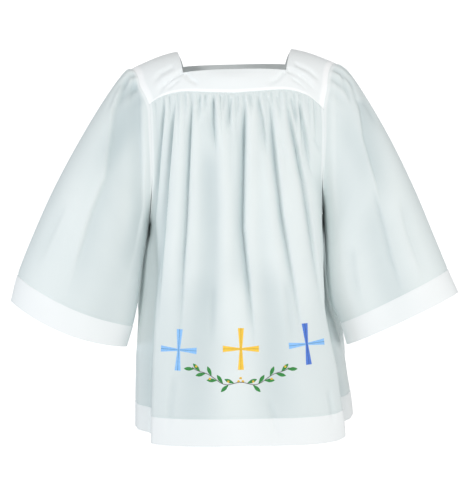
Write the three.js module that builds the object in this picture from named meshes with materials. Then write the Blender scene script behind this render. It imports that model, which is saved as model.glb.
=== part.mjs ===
// A gathered surplice: square-necked yoke, gathered front and back, wide bell sleeves,
// and a deep band along the hem and round each cuff.
//
// Millimetres. +Z is up, the front faces -Y, and the wearer's left side is +X.
// The origin lies between the two neck points, at the height of the shoulder seams.
// Every panel is a thin wall around a surface (u, v): seen from outside, u runs across
// the panel from left to right and v runs from its top edge to its bottom edge.

import * as THREE from 'three';

const { lerp, smoothstep, clamp } = THREE.MathUtils;

// Walls and seams
const CLOTH = 1.6;              // thickness of the gathered panels and the sleeves
const YOKE_CLOTH = 2.4;         // the yoke is made double
const BAND_CLOTH = 2.2;         // the hem and cuff bands are turned up double
const SEAM_GAP = 0.3;           // distance between two pieces along a seam
const GATHERED_GAP = 0.4;       // and along the gathered seam below a yoke

// Shoulders
const SEAM_Y = 5;               // shoulder seams and side seams lie in this plane
const NECK_HALF_WIDTH = 126;    // from the middle to each neck point
const SHOULDER_TILT = 0.0244;   // the left shoulder sits a little higher
const SHOULDER_DROP = 110;      // height of the quarter ellipse from shoulder to chest
const CHEST_ROUNDING = 2.5;     // how late the chest turns toward the armhole
const TOP = { front: 105, back: 96 };         // depth of that ellipse at the middle
const TOP_LOSS = { front: 30, back: 22 };     // depth lost where the armholes begin
const TOP_SPAN = 180;

// Neck opening, as distances from the middle and below the shoulder line
const NECK_BOTTOM = {
  front: { left: 108, right: 110, corner: 55.5, middle: 52 },
  back: { left: 112, right: 112, corner: 27, middle: 25 },
};

// Armholes: height of the underarm, and the angle down from the shoulder where the yoke ends
const ARMHOLE = {
  left: { sign: -1, underarm: -374, yokeEnd: Math.PI / 3 },
  right: { sign: 1, underarm: -348, yokeEnd: (7 * Math.PI) / 18 },
};

// Distance of the armhole seam from the middle, at each distance below the shoulder tip
const ARMHOLE_WIDTH = [
  { below: 0, left: 222, right: 218.6 },
  { below: 8, left: 213, right: 209 },
  { below: 23, left: 204.5, right: 202.5 },
  { below: 42, left: 200, right: 199 },
  { below: 64, left: 188, right: 197 },
  { below: 86, left: 179, right: 192 },
  { below: 105, left: 176.5, right: 190 },
  { below: 150, left: 175, right: 191 },
  { below: 200, left: 173.5, right: 190 },
  { below: 260, left: 174, right: 188 },
  { below: 300, left: 177, right: 188.5 },
  { below: 330, left: 181, right: 190 },
];

// How far the shoulder line falls from the neck to the shoulder tip and beyond
const SHOULDER_FALL = [
  { out: 0, fall: 0 },
  { out: 90, fall: 0 },
  { out: 126, fall: 2.5 },
  { out: 163, fall: 12 },
  { out: 207, fall: 29.5 },
  { out: 221, fall: 36 },
  { out: 250, fall: 51 },
];

// Lower edge of the front yoke: distance below the shoulder line
const YOKE_EDGE = [
  { out: 0, front: 103, back: 108 },
  { out: 60, front: 100, back: 108 },
  { out: 105, front: 97, back: 108 },
  { out: 140, front: 97.5, back: 108 },
  { out: 158, front: 99, back: 109 },
  { out: 170, front: 102, back: 110 },
  { out: 180, front: 106, back: 112 },
  { out: 190, front: 110, back: 114 },
];

// Body sections, by height: how far each side seam lies out, and the depth in the middle
const BODY = [
  { z: -100, left: 180, right: 188, front: 105, back: 100 },
  { z: -160, left: 180, right: 188, front: 113, back: 104 },
  { z: -250, left: 180, right: 187, front: 119, back: 106 },
  { z: -365, left: 180, right: 186, front: 124, back: 108 },
  { z: -400, left: 184.5, right: 188, front: 125, back: 109 },
  { z: -456, left: 195.5, right: 192.5, front: 127, back: 111 },
  { z: -505, left: 201.5, right: 198, front: 129, back: 113 },
  { z: -545, left: 205, right: 203, front: 130, back: 114 },
  { z: -600, left: 208.5, right: 221, front: 132, back: 116 },
  { z: -632, left: 210, right: 231, front: 133, back: 118 },
  { z: -660, left: 212, right: 239, front: 134, back: 119 },
  { z: -700, left: 213, right: 245, front: 135, back: 121 },
  { z: -770, left: 214, right: 256, front: 138, back: 124 },
  { z: -845, left: 214, right: 259, front: 141, back: 127 },
];

// Roundness of a section on each side of the middle: 2 is an ellipse, more is squarer
const BODY_CORNERS = {
  front: [
    { z: -260, left: 2.6, right: 2.6 },
    { z: -390, left: 2.6, right: 4.8 },
    { z: -530, left: 2.6, right: 4.6 },
    { z: -640, left: 2.6, right: 3.3 },
    { z: -845, left: 2.6, right: 2.9 },
  ],
  back: [
    { z: -260, left: 2.6, right: 2.6 },
    { z: -845, left: 2.6, right: 2.6 },
  ],
};
const CHEST_OPENS = { from: -240, to: -400 };  // where the chest arc becomes a full section

// Height of the hem across each panel
const HEM = {
  front: [
    { u: 0, z: -812 },
    { u: 0.1, z: -830 },
    { u: 0.2, z: -842 },
    { u: 0.5, z: -841 },
    { u: 0.8, z: -835 },
    { u: 0.9, z: -815 },
    { u: 1, z: -786 },
  ],
  back: [
    { u: 0, z: -786 },
    { u: 0.12, z: -812 },
    { u: 0.25, z: -828 },
    { u: 0.5, z: -834 },
    { u: 0.8, z: -831 },
    { u: 1, z: -812 },
  ],
};
const HEM_BAND_TOP = 0.9228;    // where the hem band begins, as a share of the panel's length

// Gathers along the yoke seam
const GATHERS = 24;
const GATHER_HEIGHT = 3.4;
const GATHER_LENGTHS = [0.10, 0.15, 0.08, 0.13, 0.19, 0.09, 0.12, 0.07];

// Long folds: where each begins, bends and ends, how far it goes in (or stands out, when
// negative) and its half width
const FOLDS = {
  front: [
    { x0: -146, z0: -112, x1: -163, z1: -290, x2: -184, z2: -480, depth: 8, width: 11 },
    { x0: -124, z0: -108, x1: -141, z1: -313, x2: -166, z2: -620, depth: 10, width: 11 },
    { x0: -106, z0: -108, x1: -121, z1: -330, x2: -138, z2: -620, depth: -4, width: 13 },
    { x0: -88, z0: -106, x1: -101, z1: -380, x2: -119, z2: -660, depth: 9, width: 10 },
    { x0: -43, z0: -108, x1: -43, z1: -165, x2: -39, z2: -240, depth: 6, width: 8 },
    { x0: -55, z0: -200, x1: -48, z1: -413, x2: -58, z2: -660, depth: 5, width: 15 },
    { x0: -30, z0: -108, x1: -19, z1: -338, x2: -23, z2: -660, depth: -5, width: 9 },
    { x0: -5, z0: -108, x1: -9, z1: -140, x2: -17, z2: -200, depth: 4, width: 7 },
    { x0: 24, z0: -108, x1: 18, z1: -388, x2: 46, z2: -680, depth: 11, width: 11 },
    { x0: 38, z0: -108, x1: 36, z1: -260, x2: 38, z2: -460, depth: -5, width: 9 },
    { x0: 50, z0: -108, x1: 60, z1: -165, x2: 69, z2: -250, depth: 5, width: 8 },
    { x0: 73, z0: -108, x1: 99, z1: -363, x2: 152, z2: -680, depth: 9, width: 10 },
    { x0: 60, z0: -190, x1: 80, z1: -380, x2: 124, z2: -640, depth: -4, width: 12 },
    { x0: 92, z0: -106, x1: 127, z1: -300, x2: 168, z2: -600, depth: -4, width: 12 },
    { x0: 108, z0: -110, x1: 146, z1: -288, x2: 190, z2: -600, depth: 8, width: 9 },
    { x0: 134, z0: -110, x1: 151, z1: -194, x2: 166, z2: -300, depth: 6, width: 9 },
    { x0: -60, z0: -460, x1: -78, z1: -640, x2: -88, z2: -960, depth: 4, width: 30 },
    { x0: 10, z0: -460, x1: 16, z1: -640, x2: 20, z2: -960, depth: -4, width: 32 },
    { x0: 66, z0: -440, x1: 74, z1: -640, x2: 80, z2: -960, depth: 4, width: 32 },
  ],
  back: [
    { x0: 146, z0: -118, x1: 156, z1: -260, x2: 166, z2: -400, depth: 8, width: 11 },
    { x0: 112, z0: -110, x1: 122, z1: -250, x2: 134, z2: -470, depth: 9, width: 12 },
    { x0: 74, z0: -110, x1: 78, z1: -220, x2: 84, z2: -360, depth: 6, width: 10 },
    { x0: 52, z0: -112, x1: 56, z1: -260, x2: 62, z2: -440, depth: -5, width: 12 },
    { x0: 22, z0: -110, x1: 18, z1: -240, x2: 30, z2: -480, depth: 9, width: 12 },
    { x0: -14, z0: -110, x1: -18, z1: -180, x2: -22, z2: -300, depth: 5, width: 10 },
    { x0: -52, z0: -110, x1: -60, z1: -250, x2: -58, z2: -430, depth: 8, width: 11 },
    { x0: -78, z0: -112, x1: -84, z1: -240, x2: -92, z2: -400, depth: -5, width: 12 },
    { x0: -106, z0: -110, x1: -114, z1: -230, x2: -128, z2: -420, depth: 7, width: 10 },
    { x0: -142, z0: -114, x1: -150, z1: -250, x2: -160, z2: -380, depth: 7, width: 11 },
    { x0: 96, z0: -400, x1: 108, z1: -620, x2: 118, z2: -900, depth: 7, width: 30 },
    { x0: 30, z0: -420, x1: 36, z1: -620, x2: 44, z2: -900, depth: -6, width: 32 },
    { x0: -40, z0: -400, x1: -34, z1: -620, x2: -30, z2: -900, depth: 6, width: 32 },
    { x0: -106, z0: -380, x1: -112, z1: -620, x2: -118, z2: -900, depth: -5, width: 30 },
  ],
};

// The folded edges beside the side seams: arc distance from the seam, heights where the
// fold begins, is full, starts to fade and ends, depth (negative stands out) and half width
const EDGE_FOLDS = {
  front: [
    { side: 'left', arc: 56, from: -360, full: -500, until: -900, gone: -950, depth: 34, width: 30 },
    { side: 'left', arc: 92, from: -360, full: -520, until: -900, gone: -950, depth: 12, width: 14 },
    { side: 'right', arc: 50, from: -420, full: -600, until: -900, gone: -950, depth: 34, width: 26 },
    { side: 'right', arc: 78, from: -440, full: -620, until: -900, gone: -950, depth: 6, width: 10 },
  ],
  back: [
    { side: 'left', arc: 60, from: -400, full: -640, until: -900, gone: -950, depth: 14, width: 26 },
    { side: 'right', arc: 56, from: -400, full: -620, until: -900, gone: -950, depth: 12, width: 24 },
    { side: 'left', arc: 26, from: -368, full: -412, until: -540, gone: -610, depth: -8, width: 12 },
    { side: 'right', arc: 26, from: -348, full: -392, until: -600, gone: -670, depth: -10, width: 12 },
    { side: 'right', arc: 28, from: -440, full: -500, until: -640, gone: -700, depth: -9, width: 13 },
  ],
};

// Sleeve sections, from the armhole to the cuff: the outer and the inner edge of the
// flattened sleeve, the middle plane it hangs in, and half its depth
const SLEEVES = {
  left: [
    { t: 0, outX: -222, outZ: -42, inX: -181, inZ: -370, y: 3, half: 80 },
    { t: 0.06, outX: -237, outZ: -51, inX: -184, inZ: -384, y: 0, half: 80 },
    { t: 0.15, outX: -267, outZ: -90, inX: -188, inZ: -408, y: -8, half: 79 },
    { t: 0.35, outX: -324, outZ: -185, inX: -196, inZ: -448, y: -22, half: 77 },
    { t: 0.6, outX: -386, outZ: -302, inX: -202, inZ: -503, y: -30, half: 74 },
    { t: 0.8, outX: -435, outZ: -412, inX: -208, inZ: -553, y: -31, half: 70 },
    { t: 0.9, outX: -464, outZ: -487, inX: -217, inZ: -596, y: -31, half: 67 },
    { t: 1, outX: -478, outZ: -542, inX: -230, inZ: -640, y: -31, half: 65 },
  ],
  right: [
    { t: 0, outX: 218.6, outZ: -30, inX: 190, inZ: -348, y: 3, half: 80 },
    { t: 0.06, outX: 243, outZ: -46, inX: 192, inZ: -362, y: 0, half: 80 },
    { t: 0.15, outX: 271, outZ: -83, inX: 194, inZ: -387, y: -8, half: 79 },
    { t: 0.35, outX: 329, outZ: -184, inX: 196.5, inZ: -432, y: -22, half: 77 },
    { t: 0.6, outX: 385, outZ: -300, inX: 199.5, inZ: -494, y: -30, half: 74 },
    { t: 0.8, outX: 430.5, outZ: -409, inX: 208, inZ: -546, y: -31, half: 70 },
    { t: 0.9, outX: 458, outZ: -475, inX: 228, inZ: -590, y: -31, half: 67 },
    { t: 1, outX: 480, outZ: -524, inX: 242, inZ: -636, y: -31, half: 65 },
  ],
};
const CUFF_BAND_TOP = 0.9;
const CUFF_SAG = { left: 20, right: 2 };  // how far the middle of a cuff hangs down
const ARMHOLE_FADE = 0.3;       // share of the sleeve that still follows the armhole's shape

// Sleeve folds: the angle of each at the armhole and at the cuff (0 is the outer edge,
// 90 the front), the share of the sleeve it covers, depth and half width in degrees
const SLEEVE_FOLDS = {
  left: [
    { top: 62, cuff: 70, from: 0.02, to: 0.4, depth: 9, width: 13 },
    { top: 84, cuff: 96, from: 0.05, to: 0.75, depth: -5, width: 16 },
    { top: 50, cuff: 58, from: 0.3, to: 1.2, depth: -6, width: 20 },
    { top: 128, cuff: 122, from: 0.25, to: 1.2, depth: 7, width: 18 },
    { top: 262, cuff: 268, from: 0.05, to: 0.8, depth: 8, width: 16 },
    { top: 300, cuff: 305, from: 0.3, to: 1.2, depth: 6, width: 18 },
    { top: 222, cuff: 230, from: 0.3, to: 1.2, depth: -6, width: 18 },
  ],
  right: [
    { top: 70, cuff: 82, from: 0.04, to: 0.45, depth: 7, width: 13 },
    { top: 74, cuff: 92, from: 0.35, to: 1.2, depth: 8, width: 15 },
    { top: 48, cuff: 56, from: 0.3, to: 1.2, depth: -5, width: 20 },
    { top: 128, cuff: 128, from: 0.25, to: 1.2, depth: -6, width: 18 },
    { top: 266, cuff: 262, from: 0.05, to: 0.8, depth: 8, width: 16 },
    { top: 305, cuff: 300, from: 0.3, to: 1.2, depth: -6, width: 18 },
    { top: 225, cuff: 232, from: 0.3, to: 1.2, depth: 6, width: 18 },
  ],
};
const SLEEVE_HEAD = { gathers: 9, reach: 70, height: 2.6, length: 0.1 };

// Facets
const YOKE_STEPS = { left: 6, band: 32, right: 7, across: 4 };
const FINE_ROWS = [0, 0.011, 0.027, 0.05, 0.08, 0.12];
const BODY_ROWS = [0.17, 0.225, 0.28, 0.315, 0.337, 0.36, 0.4, 0.46, 0.54, 0.63,
  0.71, 0.79, 0.86, HEM_BAND_TOP];
const BODY_COLUMNS = 48;
const HEM_ROWS = [0.95, 0.975, 1];
const SLEEVE_ROWS = [0, 0.025, 0.06, 0.1, 0.16, 0.25, 0.36, 0.48, 0.6, 0.72, 0.82, CUFF_BAND_TOP];
const CUFF_ROWS = [0.95, 1];
const SLEEVE_COLUMNS = 36;

// ---------------------------------------------------------------- tables and curves

/** Value of one column of a table at a key, by a smooth curve through its rows. */
function tableValue(rows, key, column, at) {
  const rising = rows[rows.length - 1][key] > rows[0][key];
  const inside = (row) => (rising ? row[key] <= at : row[key] >= at);
  let i = 0;
  while (i < rows.length - 2 && inside(rows[i + 1])) {
    i += 1;
  }
  const a = rows[i];
  const b = rows[i + 1];
  const span = b[key] - a[key];
  const t = clamp((at - a[key]) / span, 0, 1);
  const slope = (j) => {
    const before = rows[Math.max(j - 1, 0)];
    const after = rows[Math.min(j + 1, rows.length - 1)];
    return (after[column] - before[column]) / (after[key] - before[key]);
  };
  const t2 = t * t;
  const t3 = t2 * t;
  return (2 * t3 - 3 * t2 + 1) * a[column] + (t3 - 2 * t2 + t) * span * slope(i)
    + (3 * t2 - 2 * t3) * b[column] + (t3 - t2) * span * slope(i + 1);
}

/** A smooth hump of height 1 at distance 0, which ends at two half widths. */
function hump(distance, halfWidth) {
  const d = Math.abs(distance) / (2 * halfWidth);
  return d >= 1 ? 0 : (1 - d * d) ** 3;
}

// ---------------------------------------------------------------- shoulders and yoke

/** Height of the shoulder line at x. */
function shoulderHeight(x) {
  return SHOULDER_TILT * x - tableValue(SHOULDER_FALL, 'out', 'fall', Math.abs(x));
}

/** Point on the chest or upper back: angle 0 is the shoulder line, 90 degrees the chest. */
function shoulderPoint(face, x, angle) {
  const depth = TOP[face] - TOP_LOSS[face] * (Math.abs(x) / TOP_SPAN) ** CHEST_ROUNDING;
  const sign = face === 'front' ? -1 : 1;
  return new THREE.Vector3(
    x,
    SEAM_Y + sign * depth * Math.sin(angle),
    shoulderHeight(x) - SHOULDER_DROP * (1 - Math.cos(angle)),
  );
}

/** Angle on the shoulder ellipse at a distance below the shoulder line. */
function shoulderAngle(drop) {
  return Math.acos(clamp(1 - drop / SHOULDER_DROP, -1, 1));
}

/** Heights of an armhole: its shoulder tip, its middle and half its span. */
function armholeHeights(side) {
  const { sign, underarm } = ARMHOLE[side];
  const tip = shoulderHeight(sign * ARMHOLE_WIDTH[0][side]);
  return { tip, middle: (tip + underarm) / 2, half: (tip - underarm) / 2 };
}

/** Point of an armhole seam; angle 0 is the shoulder tip and PI the underarm. */
function armholePoint(side, face, angle) {
  const { sign, yokeEnd } = ARMHOLE[side];
  const { tip, middle, half } = armholeHeights(side);
  const heightAt = (a) => middle + half * Math.cos(a);
  const widthAt = (z) => sign * tableValue(ARMHOLE_WIDTH, 'below', side, tip - z);
  const onYoke = (a) => {
    const z = heightAt(a);
    const x = widthAt(z);
    return shoulderPoint(face, x, shoulderAngle(Math.max(shoulderHeight(x) - z, 0)));
  };
  if (angle <= yokeEnd) {
    return onYoke(angle);
  }
  const corner = onYoke(yokeEnd);
  const depth = (corner.y - SEAM_Y) / Math.sin(yokeEnd);
  const z = heightAt(angle);
  return new THREE.Vector3(widthAt(z), SEAM_Y + depth * Math.sin(angle), z);
}

/** Direction across the cloth that all pieces share where they meet at an armhole. */
function armholeNormal(side, face, angle) {
  const front = face === 'front' ? -1 : 1;
  const round = new THREE.Vector3(0, front * Math.sin(angle), Math.cos(angle));
  const flat = new THREE.Vector3(ARMHOLE[side].sign, 0, 0);
  return round.lerp(flat, smoothstep(angle, 1.9, 2.7)).normalize();
}

/** Lower edge of a yoke at a share of its width: its x and its angle on the shoulder. */
function yokeEdge(face, share) {
  const left = armholePoint('left', face, ARMHOLE.left.yokeEnd);
  const right = armholePoint('right', face, ARMHOLE.right.yokeEnd);
  const dropAt = (x) => tableValue(YOKE_EDGE, 'out', face, Math.abs(x));
  const missing = (corner) => shoulderHeight(corner.x) - corner.z - dropAt(corner.x);
  const x = lerp(left.x, right.x, share);
  const drop = dropAt(x) + missing(left) * (1 - share) ** 10 + missing(right) * share ** 10;
  return { x, angle: shoulderAngle(drop) };
}

/** Edge of the neck opening at a share of its width. */
function neckEdge(face, share) {
  const { left, right, corner, middle } = NECK_BOTTOM[face];
  return {
    x: lerp(-left, right, share),
    angle: shoulderAngle(lerp(middle, corner, (2 * share - 1) ** 2)),
  };
}

/**
 * Yoke surface. along runs from the left shoulder seam (0) down the left strap (1), along
 * the band below the neck (2) and up the right strap (3); across runs from the armholes
 * and the gathered seam (0) to the neck opening (1).
 */
function yokeSurface(face, along, across) {
  let outer;
  let inner;
  if (along >= 1 && along <= 2) {
    outer = yokeEdge(face, along - 1);
    inner = neckEdge(face, along - 1);
  } else {
    const side = along < 1 ? 'left' : 'right';
    const down = along < 1 ? along : 3 - along;
    const start = face === 'front' ? 0 : SEAM_GAP / TOP.back;
    const seam = armholePoint(side, face, lerp(start, ARMHOLE[side].yokeEnd, down));
    const corner = neckEdge(face, side === 'left' ? 0 : 1);
    const drop = Math.max(shoulderHeight(seam.x) - seam.z, 0);
    outer = { x: seam.x, angle: Math.max(shoulderAngle(drop), start) };
    inner = {
      x: lerp(ARMHOLE[side].sign * NECK_HALF_WIDTH, corner.x, down),
      angle: Math.max(lerp(start, corner.angle, down), start),
    };
  }
  return shoulderPoint(face, lerp(outer.x, inner.x, across), lerp(outer.angle, inner.angle, across));
}

/** Direction out of the shoulder surface, from two small steps over it. */
function shoulderNormal(face, x, angle) {
  const step = 0.002;
  const overX = shoulderPoint(face, x + 1, angle).sub(shoulderPoint(face, x - 1, angle));
  const down = shoulderPoint(face, x, angle + step).sub(shoulderPoint(face, x, angle - step));
  const normal = down.cross(overX).normalize();
  return face === 'front' ? normal : normal.negate();
}

// ---------------------------------------------------------------- gathered panels

/** Edge of a body panel at a share of its length: the armhole, then the side seam. */
function bodyEdge(face, side, share) {
  const { sign, underarm, yokeEnd } = ARMHOLE[side];
  const { tip, middle, half } = armholeHeights(side);
  const top = middle + half * Math.cos(yokeEnd);
  const hem = HEM.front[side === 'left' ? 0 : HEM.front.length - 1].z;
  const z = lerp(top, hem, share);
  if (z >= underarm) {
    return armholePoint(side, face, Math.acos(clamp((z - middle) / half, -1, 1)));
  }
  const start = tableValue(ARMHOLE_WIDTH, 'below', side, tip - underarm);
  const width = lerp(start, tableValue(BODY, 'z', side, z), smoothstep(underarm - z, 0, 60));
  const gap = (face === 'front' ? -SEAM_GAP : SEAM_GAP) / 2;
  return new THREE.Vector3(sign * width, SEAM_Y + gap, z);
}

/** Mean Y of a panel's edge over 80 mm of its length, which eases past the underarm. */
function easedEdgeY(face, side, share) {
  let sum = 0;
  for (let k = -4; k <= 4; k += 1) {
    sum += bodyEdge(face, side, clamp(share + k * 0.014, 0, 1)).y;
  }
  return sum / 9;
}

const sectionCache = new Map();

/** Plain section of a body panel at a share of its length, as points at equal distances. */
function bodySection(face, share) {
  const key = `${face} ${share}`;
  if (sectionCache.has(key)) {
    return sectionCache.get(key);
  }
  const left = bodyEdge(face, 'left', share);
  const right = bodyEdge(face, 'right', share);
  const easedLeft = easedEdgeY(face, 'left', share);
  const easedRight = easedEdgeY(face, 'right', share);
  const z = lerp(-100, -841, share);
  const depth = tableValue(BODY, 'z', face, z);
  const sign = face === 'front' ? -1 : 1;
  const opened = smoothstep(-z, -CHEST_OPENS.from, -CHEST_OPENS.to);
  const count = 160;
  const points = [];
  for (let i = 0; i <= count; i += 1) {
    const s = Math.sin((i / count - 0.5) * Math.PI);
    const across = (s + 1) / 2;
    const corners = tableValue(BODY_CORNERS[face], 'z', s < 0 ? 'left' : 'right', z);
    const eased = lerp(easedLeft, easedRight, across);
    const edgeY = lerp(eased, lerp(left.y, right.y, across), Math.abs(s) ** 10);
    const bulge = sign * depth - edgeY;
    const y = edgeY + bulge * (1 - Math.abs(s) ** corners) ** (1 / lerp(1, corners, opened));
    points.push(new THREE.Vector2(lerp(left.x, right.x, across), y));
  }
  const lengths = [0];
  for (let i = 1; i <= count; i += 1) {
    lengths.push(lengths[i - 1] + points[i].distanceTo(points[i - 1]));
  }
  const section = { points, lengths, total: lengths[count] };
  sectionCache.set(key, section);
  return section;
}

/** Point and outward direction on a plain section at a share of its arc, left to right. */
function onSection(section, share) {
  const { points, lengths, total } = section;
  const at = clamp(share, 0, 1) * total;
  let low = 0;
  let high = lengths.length - 1;
  while (high - low > 1) {
    const middle = (low + high) >> 1;
    if (lengths[middle] <= at) {
      low = middle;
    } else {
      high = middle;
    }
  }
  const t = (at - lengths[low]) / (lengths[high] - lengths[low]);
  const point = points[low].clone().lerp(points[high], t);
  const before = points[Math.max(low - 2, 0)];
  const after = points[Math.min(high + 2, points.length - 1)];
  return { point, along: after.clone().sub(before).normalize() };
}

/** Depth of the long folds of a panel at a place. */
function longFolds(face, x, z) {
  let depth = 0;
  for (const fold of FOLDS[face]) {
    const t = (fold.z0 - z) / (fold.z0 - fold.z2);
    if (t <= 0 || t >= 1) {
      continue;
    }
    const bend = (fold.z0 - fold.z1) / (fold.z0 - fold.z2);
    const centre = t < bend
      ? lerp(fold.x0, fold.x1, t / bend)
      : lerp(fold.x1, fold.x2, (t - bend) / (1 - bend));
    const strength = smoothstep(t, 0, 0.16) * (1 - smoothstep(t, 0.45, 1));
    depth += fold.depth * strength * hump(x - centre, fold.width * (1 + 0.8 * t));
  }
  return depth;
}

/** Depth of the folds beside the side seams, at distances along the section. */
function edgeFolds(face, fromLeft, fromRight, z) {
  let depth = 0;
  for (const fold of EDGE_FOLDS[face]) {
    const distance = fold.side === 'left' ? fromLeft : fromRight;
    const grown = smoothstep(-z, -fold.from, -fold.full);
    const strength = grown * (1 - smoothstep(-z, -fold.until, -fold.gone));
    depth += fold.depth * strength * hump(distance - fold.arc, fold.width);
  }
  return depth;
}

/** Height of the gathers at a yoke seam; each fades out after a length of its own. */
function gathers(u, share) {
  const pitch = u * GATHERS;
  const index = Math.floor(pitch + 0.25);
  const length = GATHER_LENGTHS[((index % 8) + 8) % 8];
  const uneven = 0.75 + 0.25 * Math.cos(2.4 * index);
  const rise = smoothstep(share, 0, 0.011);
  const fade = 1 - smoothstep(share, 0.2 * length, 1.3 * length);
  return GATHER_HEIGHT * uneven * rise * fade * Math.sin(2 * Math.PI * pitch);
}

/** Body surface; u is 0 to 1 across the panel seen from outside, share 0 to 1 down it. */
function bodySurface(face, u, share) {
  const across = face === 'front' ? u : 1 - u;
  const top = yokeEdge(face, across);
  const seam = shoulderPoint(face, top.x, top.angle + GATHERED_GAP / TOP[face]);
  const plain = onSection(bodySection(face, share), across);
  const plainTop = onSection(bodySection(face, 0), across);
  const z = lerp(seam.z, tableValue(HEM[face], 'u', 'z', u), share);
  const base = new THREE.Vector3(plain.point.x, plain.point.y, z);
  const fade = share < 0.25 ? (1 - share / 0.25) ** 2 : 0;
  base.x += (seam.x - plainTop.point.x) * fade;
  base.y += (seam.y - plainTop.point.y) * fade;
  const { total } = bodySection(face, share);
  const sign = face === 'front' ? 1 : -1;
  const out = new THREE.Vector2(plain.along.y, -plain.along.x).multiplyScalar(sign);
  const edges = smoothstep(Math.min(u, 1 - u), 0, 0.035);
  const depth = longFolds(face, base.x, z) + edgeFolds(face, across * total, (1 - across) * total, z);
  const height = edges * (gathers(u, share) - depth);
  base.x += out.x * height;
  base.y += out.y * height;
  return base;
}

// ---------------------------------------------------------------- sleeves

/** Depth of the sleeve folds and height of its head gathers, at an angle in degrees. */
function sleeveRelief(side, degrees, t) {
  let height = 0;
  for (const fold of SLEEVE_FOLDS[side]) {
    const part = (t - fold.from) / (fold.to - fold.from);
    if (part > 0 && part < 1) {
      const strength = smoothstep(part, 0, 0.3) * (1 - smoothstep(part, 0.6, 1));
      const centre = lerp(fold.top, fold.cuff, t);
      height -= fold.depth * strength * hump(degrees - centre, fold.width);
    }
  }
  const fromTop = Math.min(degrees, 360 - degrees);
  const head = SLEEVE_HEAD;
  const wave = Math.cos((fromTop / head.reach) * head.gathers * Math.PI);
  const rise = smoothstep(t, 0, 0.025) * (1 - smoothstep(t, 0.3 * head.length, 1.5 * head.length));
  return height + head.height * rise * wave * (1 - smoothstep(fromTop, 0.5 * head.reach, head.reach));
}

/** Sleeve surface; u goes once round from the outer edge over the front, t down to the cuff. */
function sleeveSurface(side, u, t) {
  const { sign } = ARMHOLE[side];
  const angle = (((u % 1) + 1) % 1) * 2 * Math.PI;
  const face = angle <= Math.PI ? 'front' : 'back';
  const fromTip = angle <= Math.PI ? angle : 2 * Math.PI - angle;
  const ring = (at) => {
    const value = (column) => tableValue(SLEEVES[side], 't', column, at);
    const outer = new THREE.Vector3(value('outX'), value('y'), value('outZ'));
    const inner = new THREE.Vector3(value('inX'), value('y'), value('inZ'));
    const point = outer.clone().lerp(inner, (1 - Math.cos(angle)) / 2);
    point.y -= value('half') * Math.sin(angle);
    point.z -= CUFF_SAG[side] * at * at * Math.sin(angle) ** 2;
    return point;
  };
  const point = ring(t);
  if (t < ARMHOLE_FADE) {
    const seam = armholePoint(side, face, fromTip);
    const across = Math.abs(armholeNormal(side, face, fromTip).x);
    seam.x += sign * (SEAM_GAP + (CLOTH + 0.1) * across);
    point.addScaledVector(seam.sub(ring(0)), (1 - t / ARMHOLE_FADE) ** 2);
  }
  const axis = new THREE.Vector3(
    sign * (tableValue(SLEEVES[side], 't', 'inZ', t) - tableValue(SLEEVES[side], 't', 'outZ', t)),
    0,
    -sign * (tableValue(SLEEVES[side], 't', 'inX', t) - tableValue(SLEEVES[side], 't', 'outX', t)),
  ).normalize();
  const out = new THREE.Vector3(-axis.z * sign, 0, axis.x * sign).multiplyScalar(-Math.cos(angle));
  out.y = -Math.sin(angle);
  return point.addScaledVector(out.normalize(), sleeveRelief(side, (angle * 180) / Math.PI, t));
}

// ---------------------------------------------------------------- walls

/** Direction out of a surface, from small steps to both sides of a place on it. */
function surfaceNormal(surface, u, v) {
  const step = 0.0008;
  const overU = surface(u + step, v).sub(surface(u - step, v));
  const overV = surface(u, v + step).sub(surface(u, v - step));
  return overV.cross(overU).normalize();
}

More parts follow.
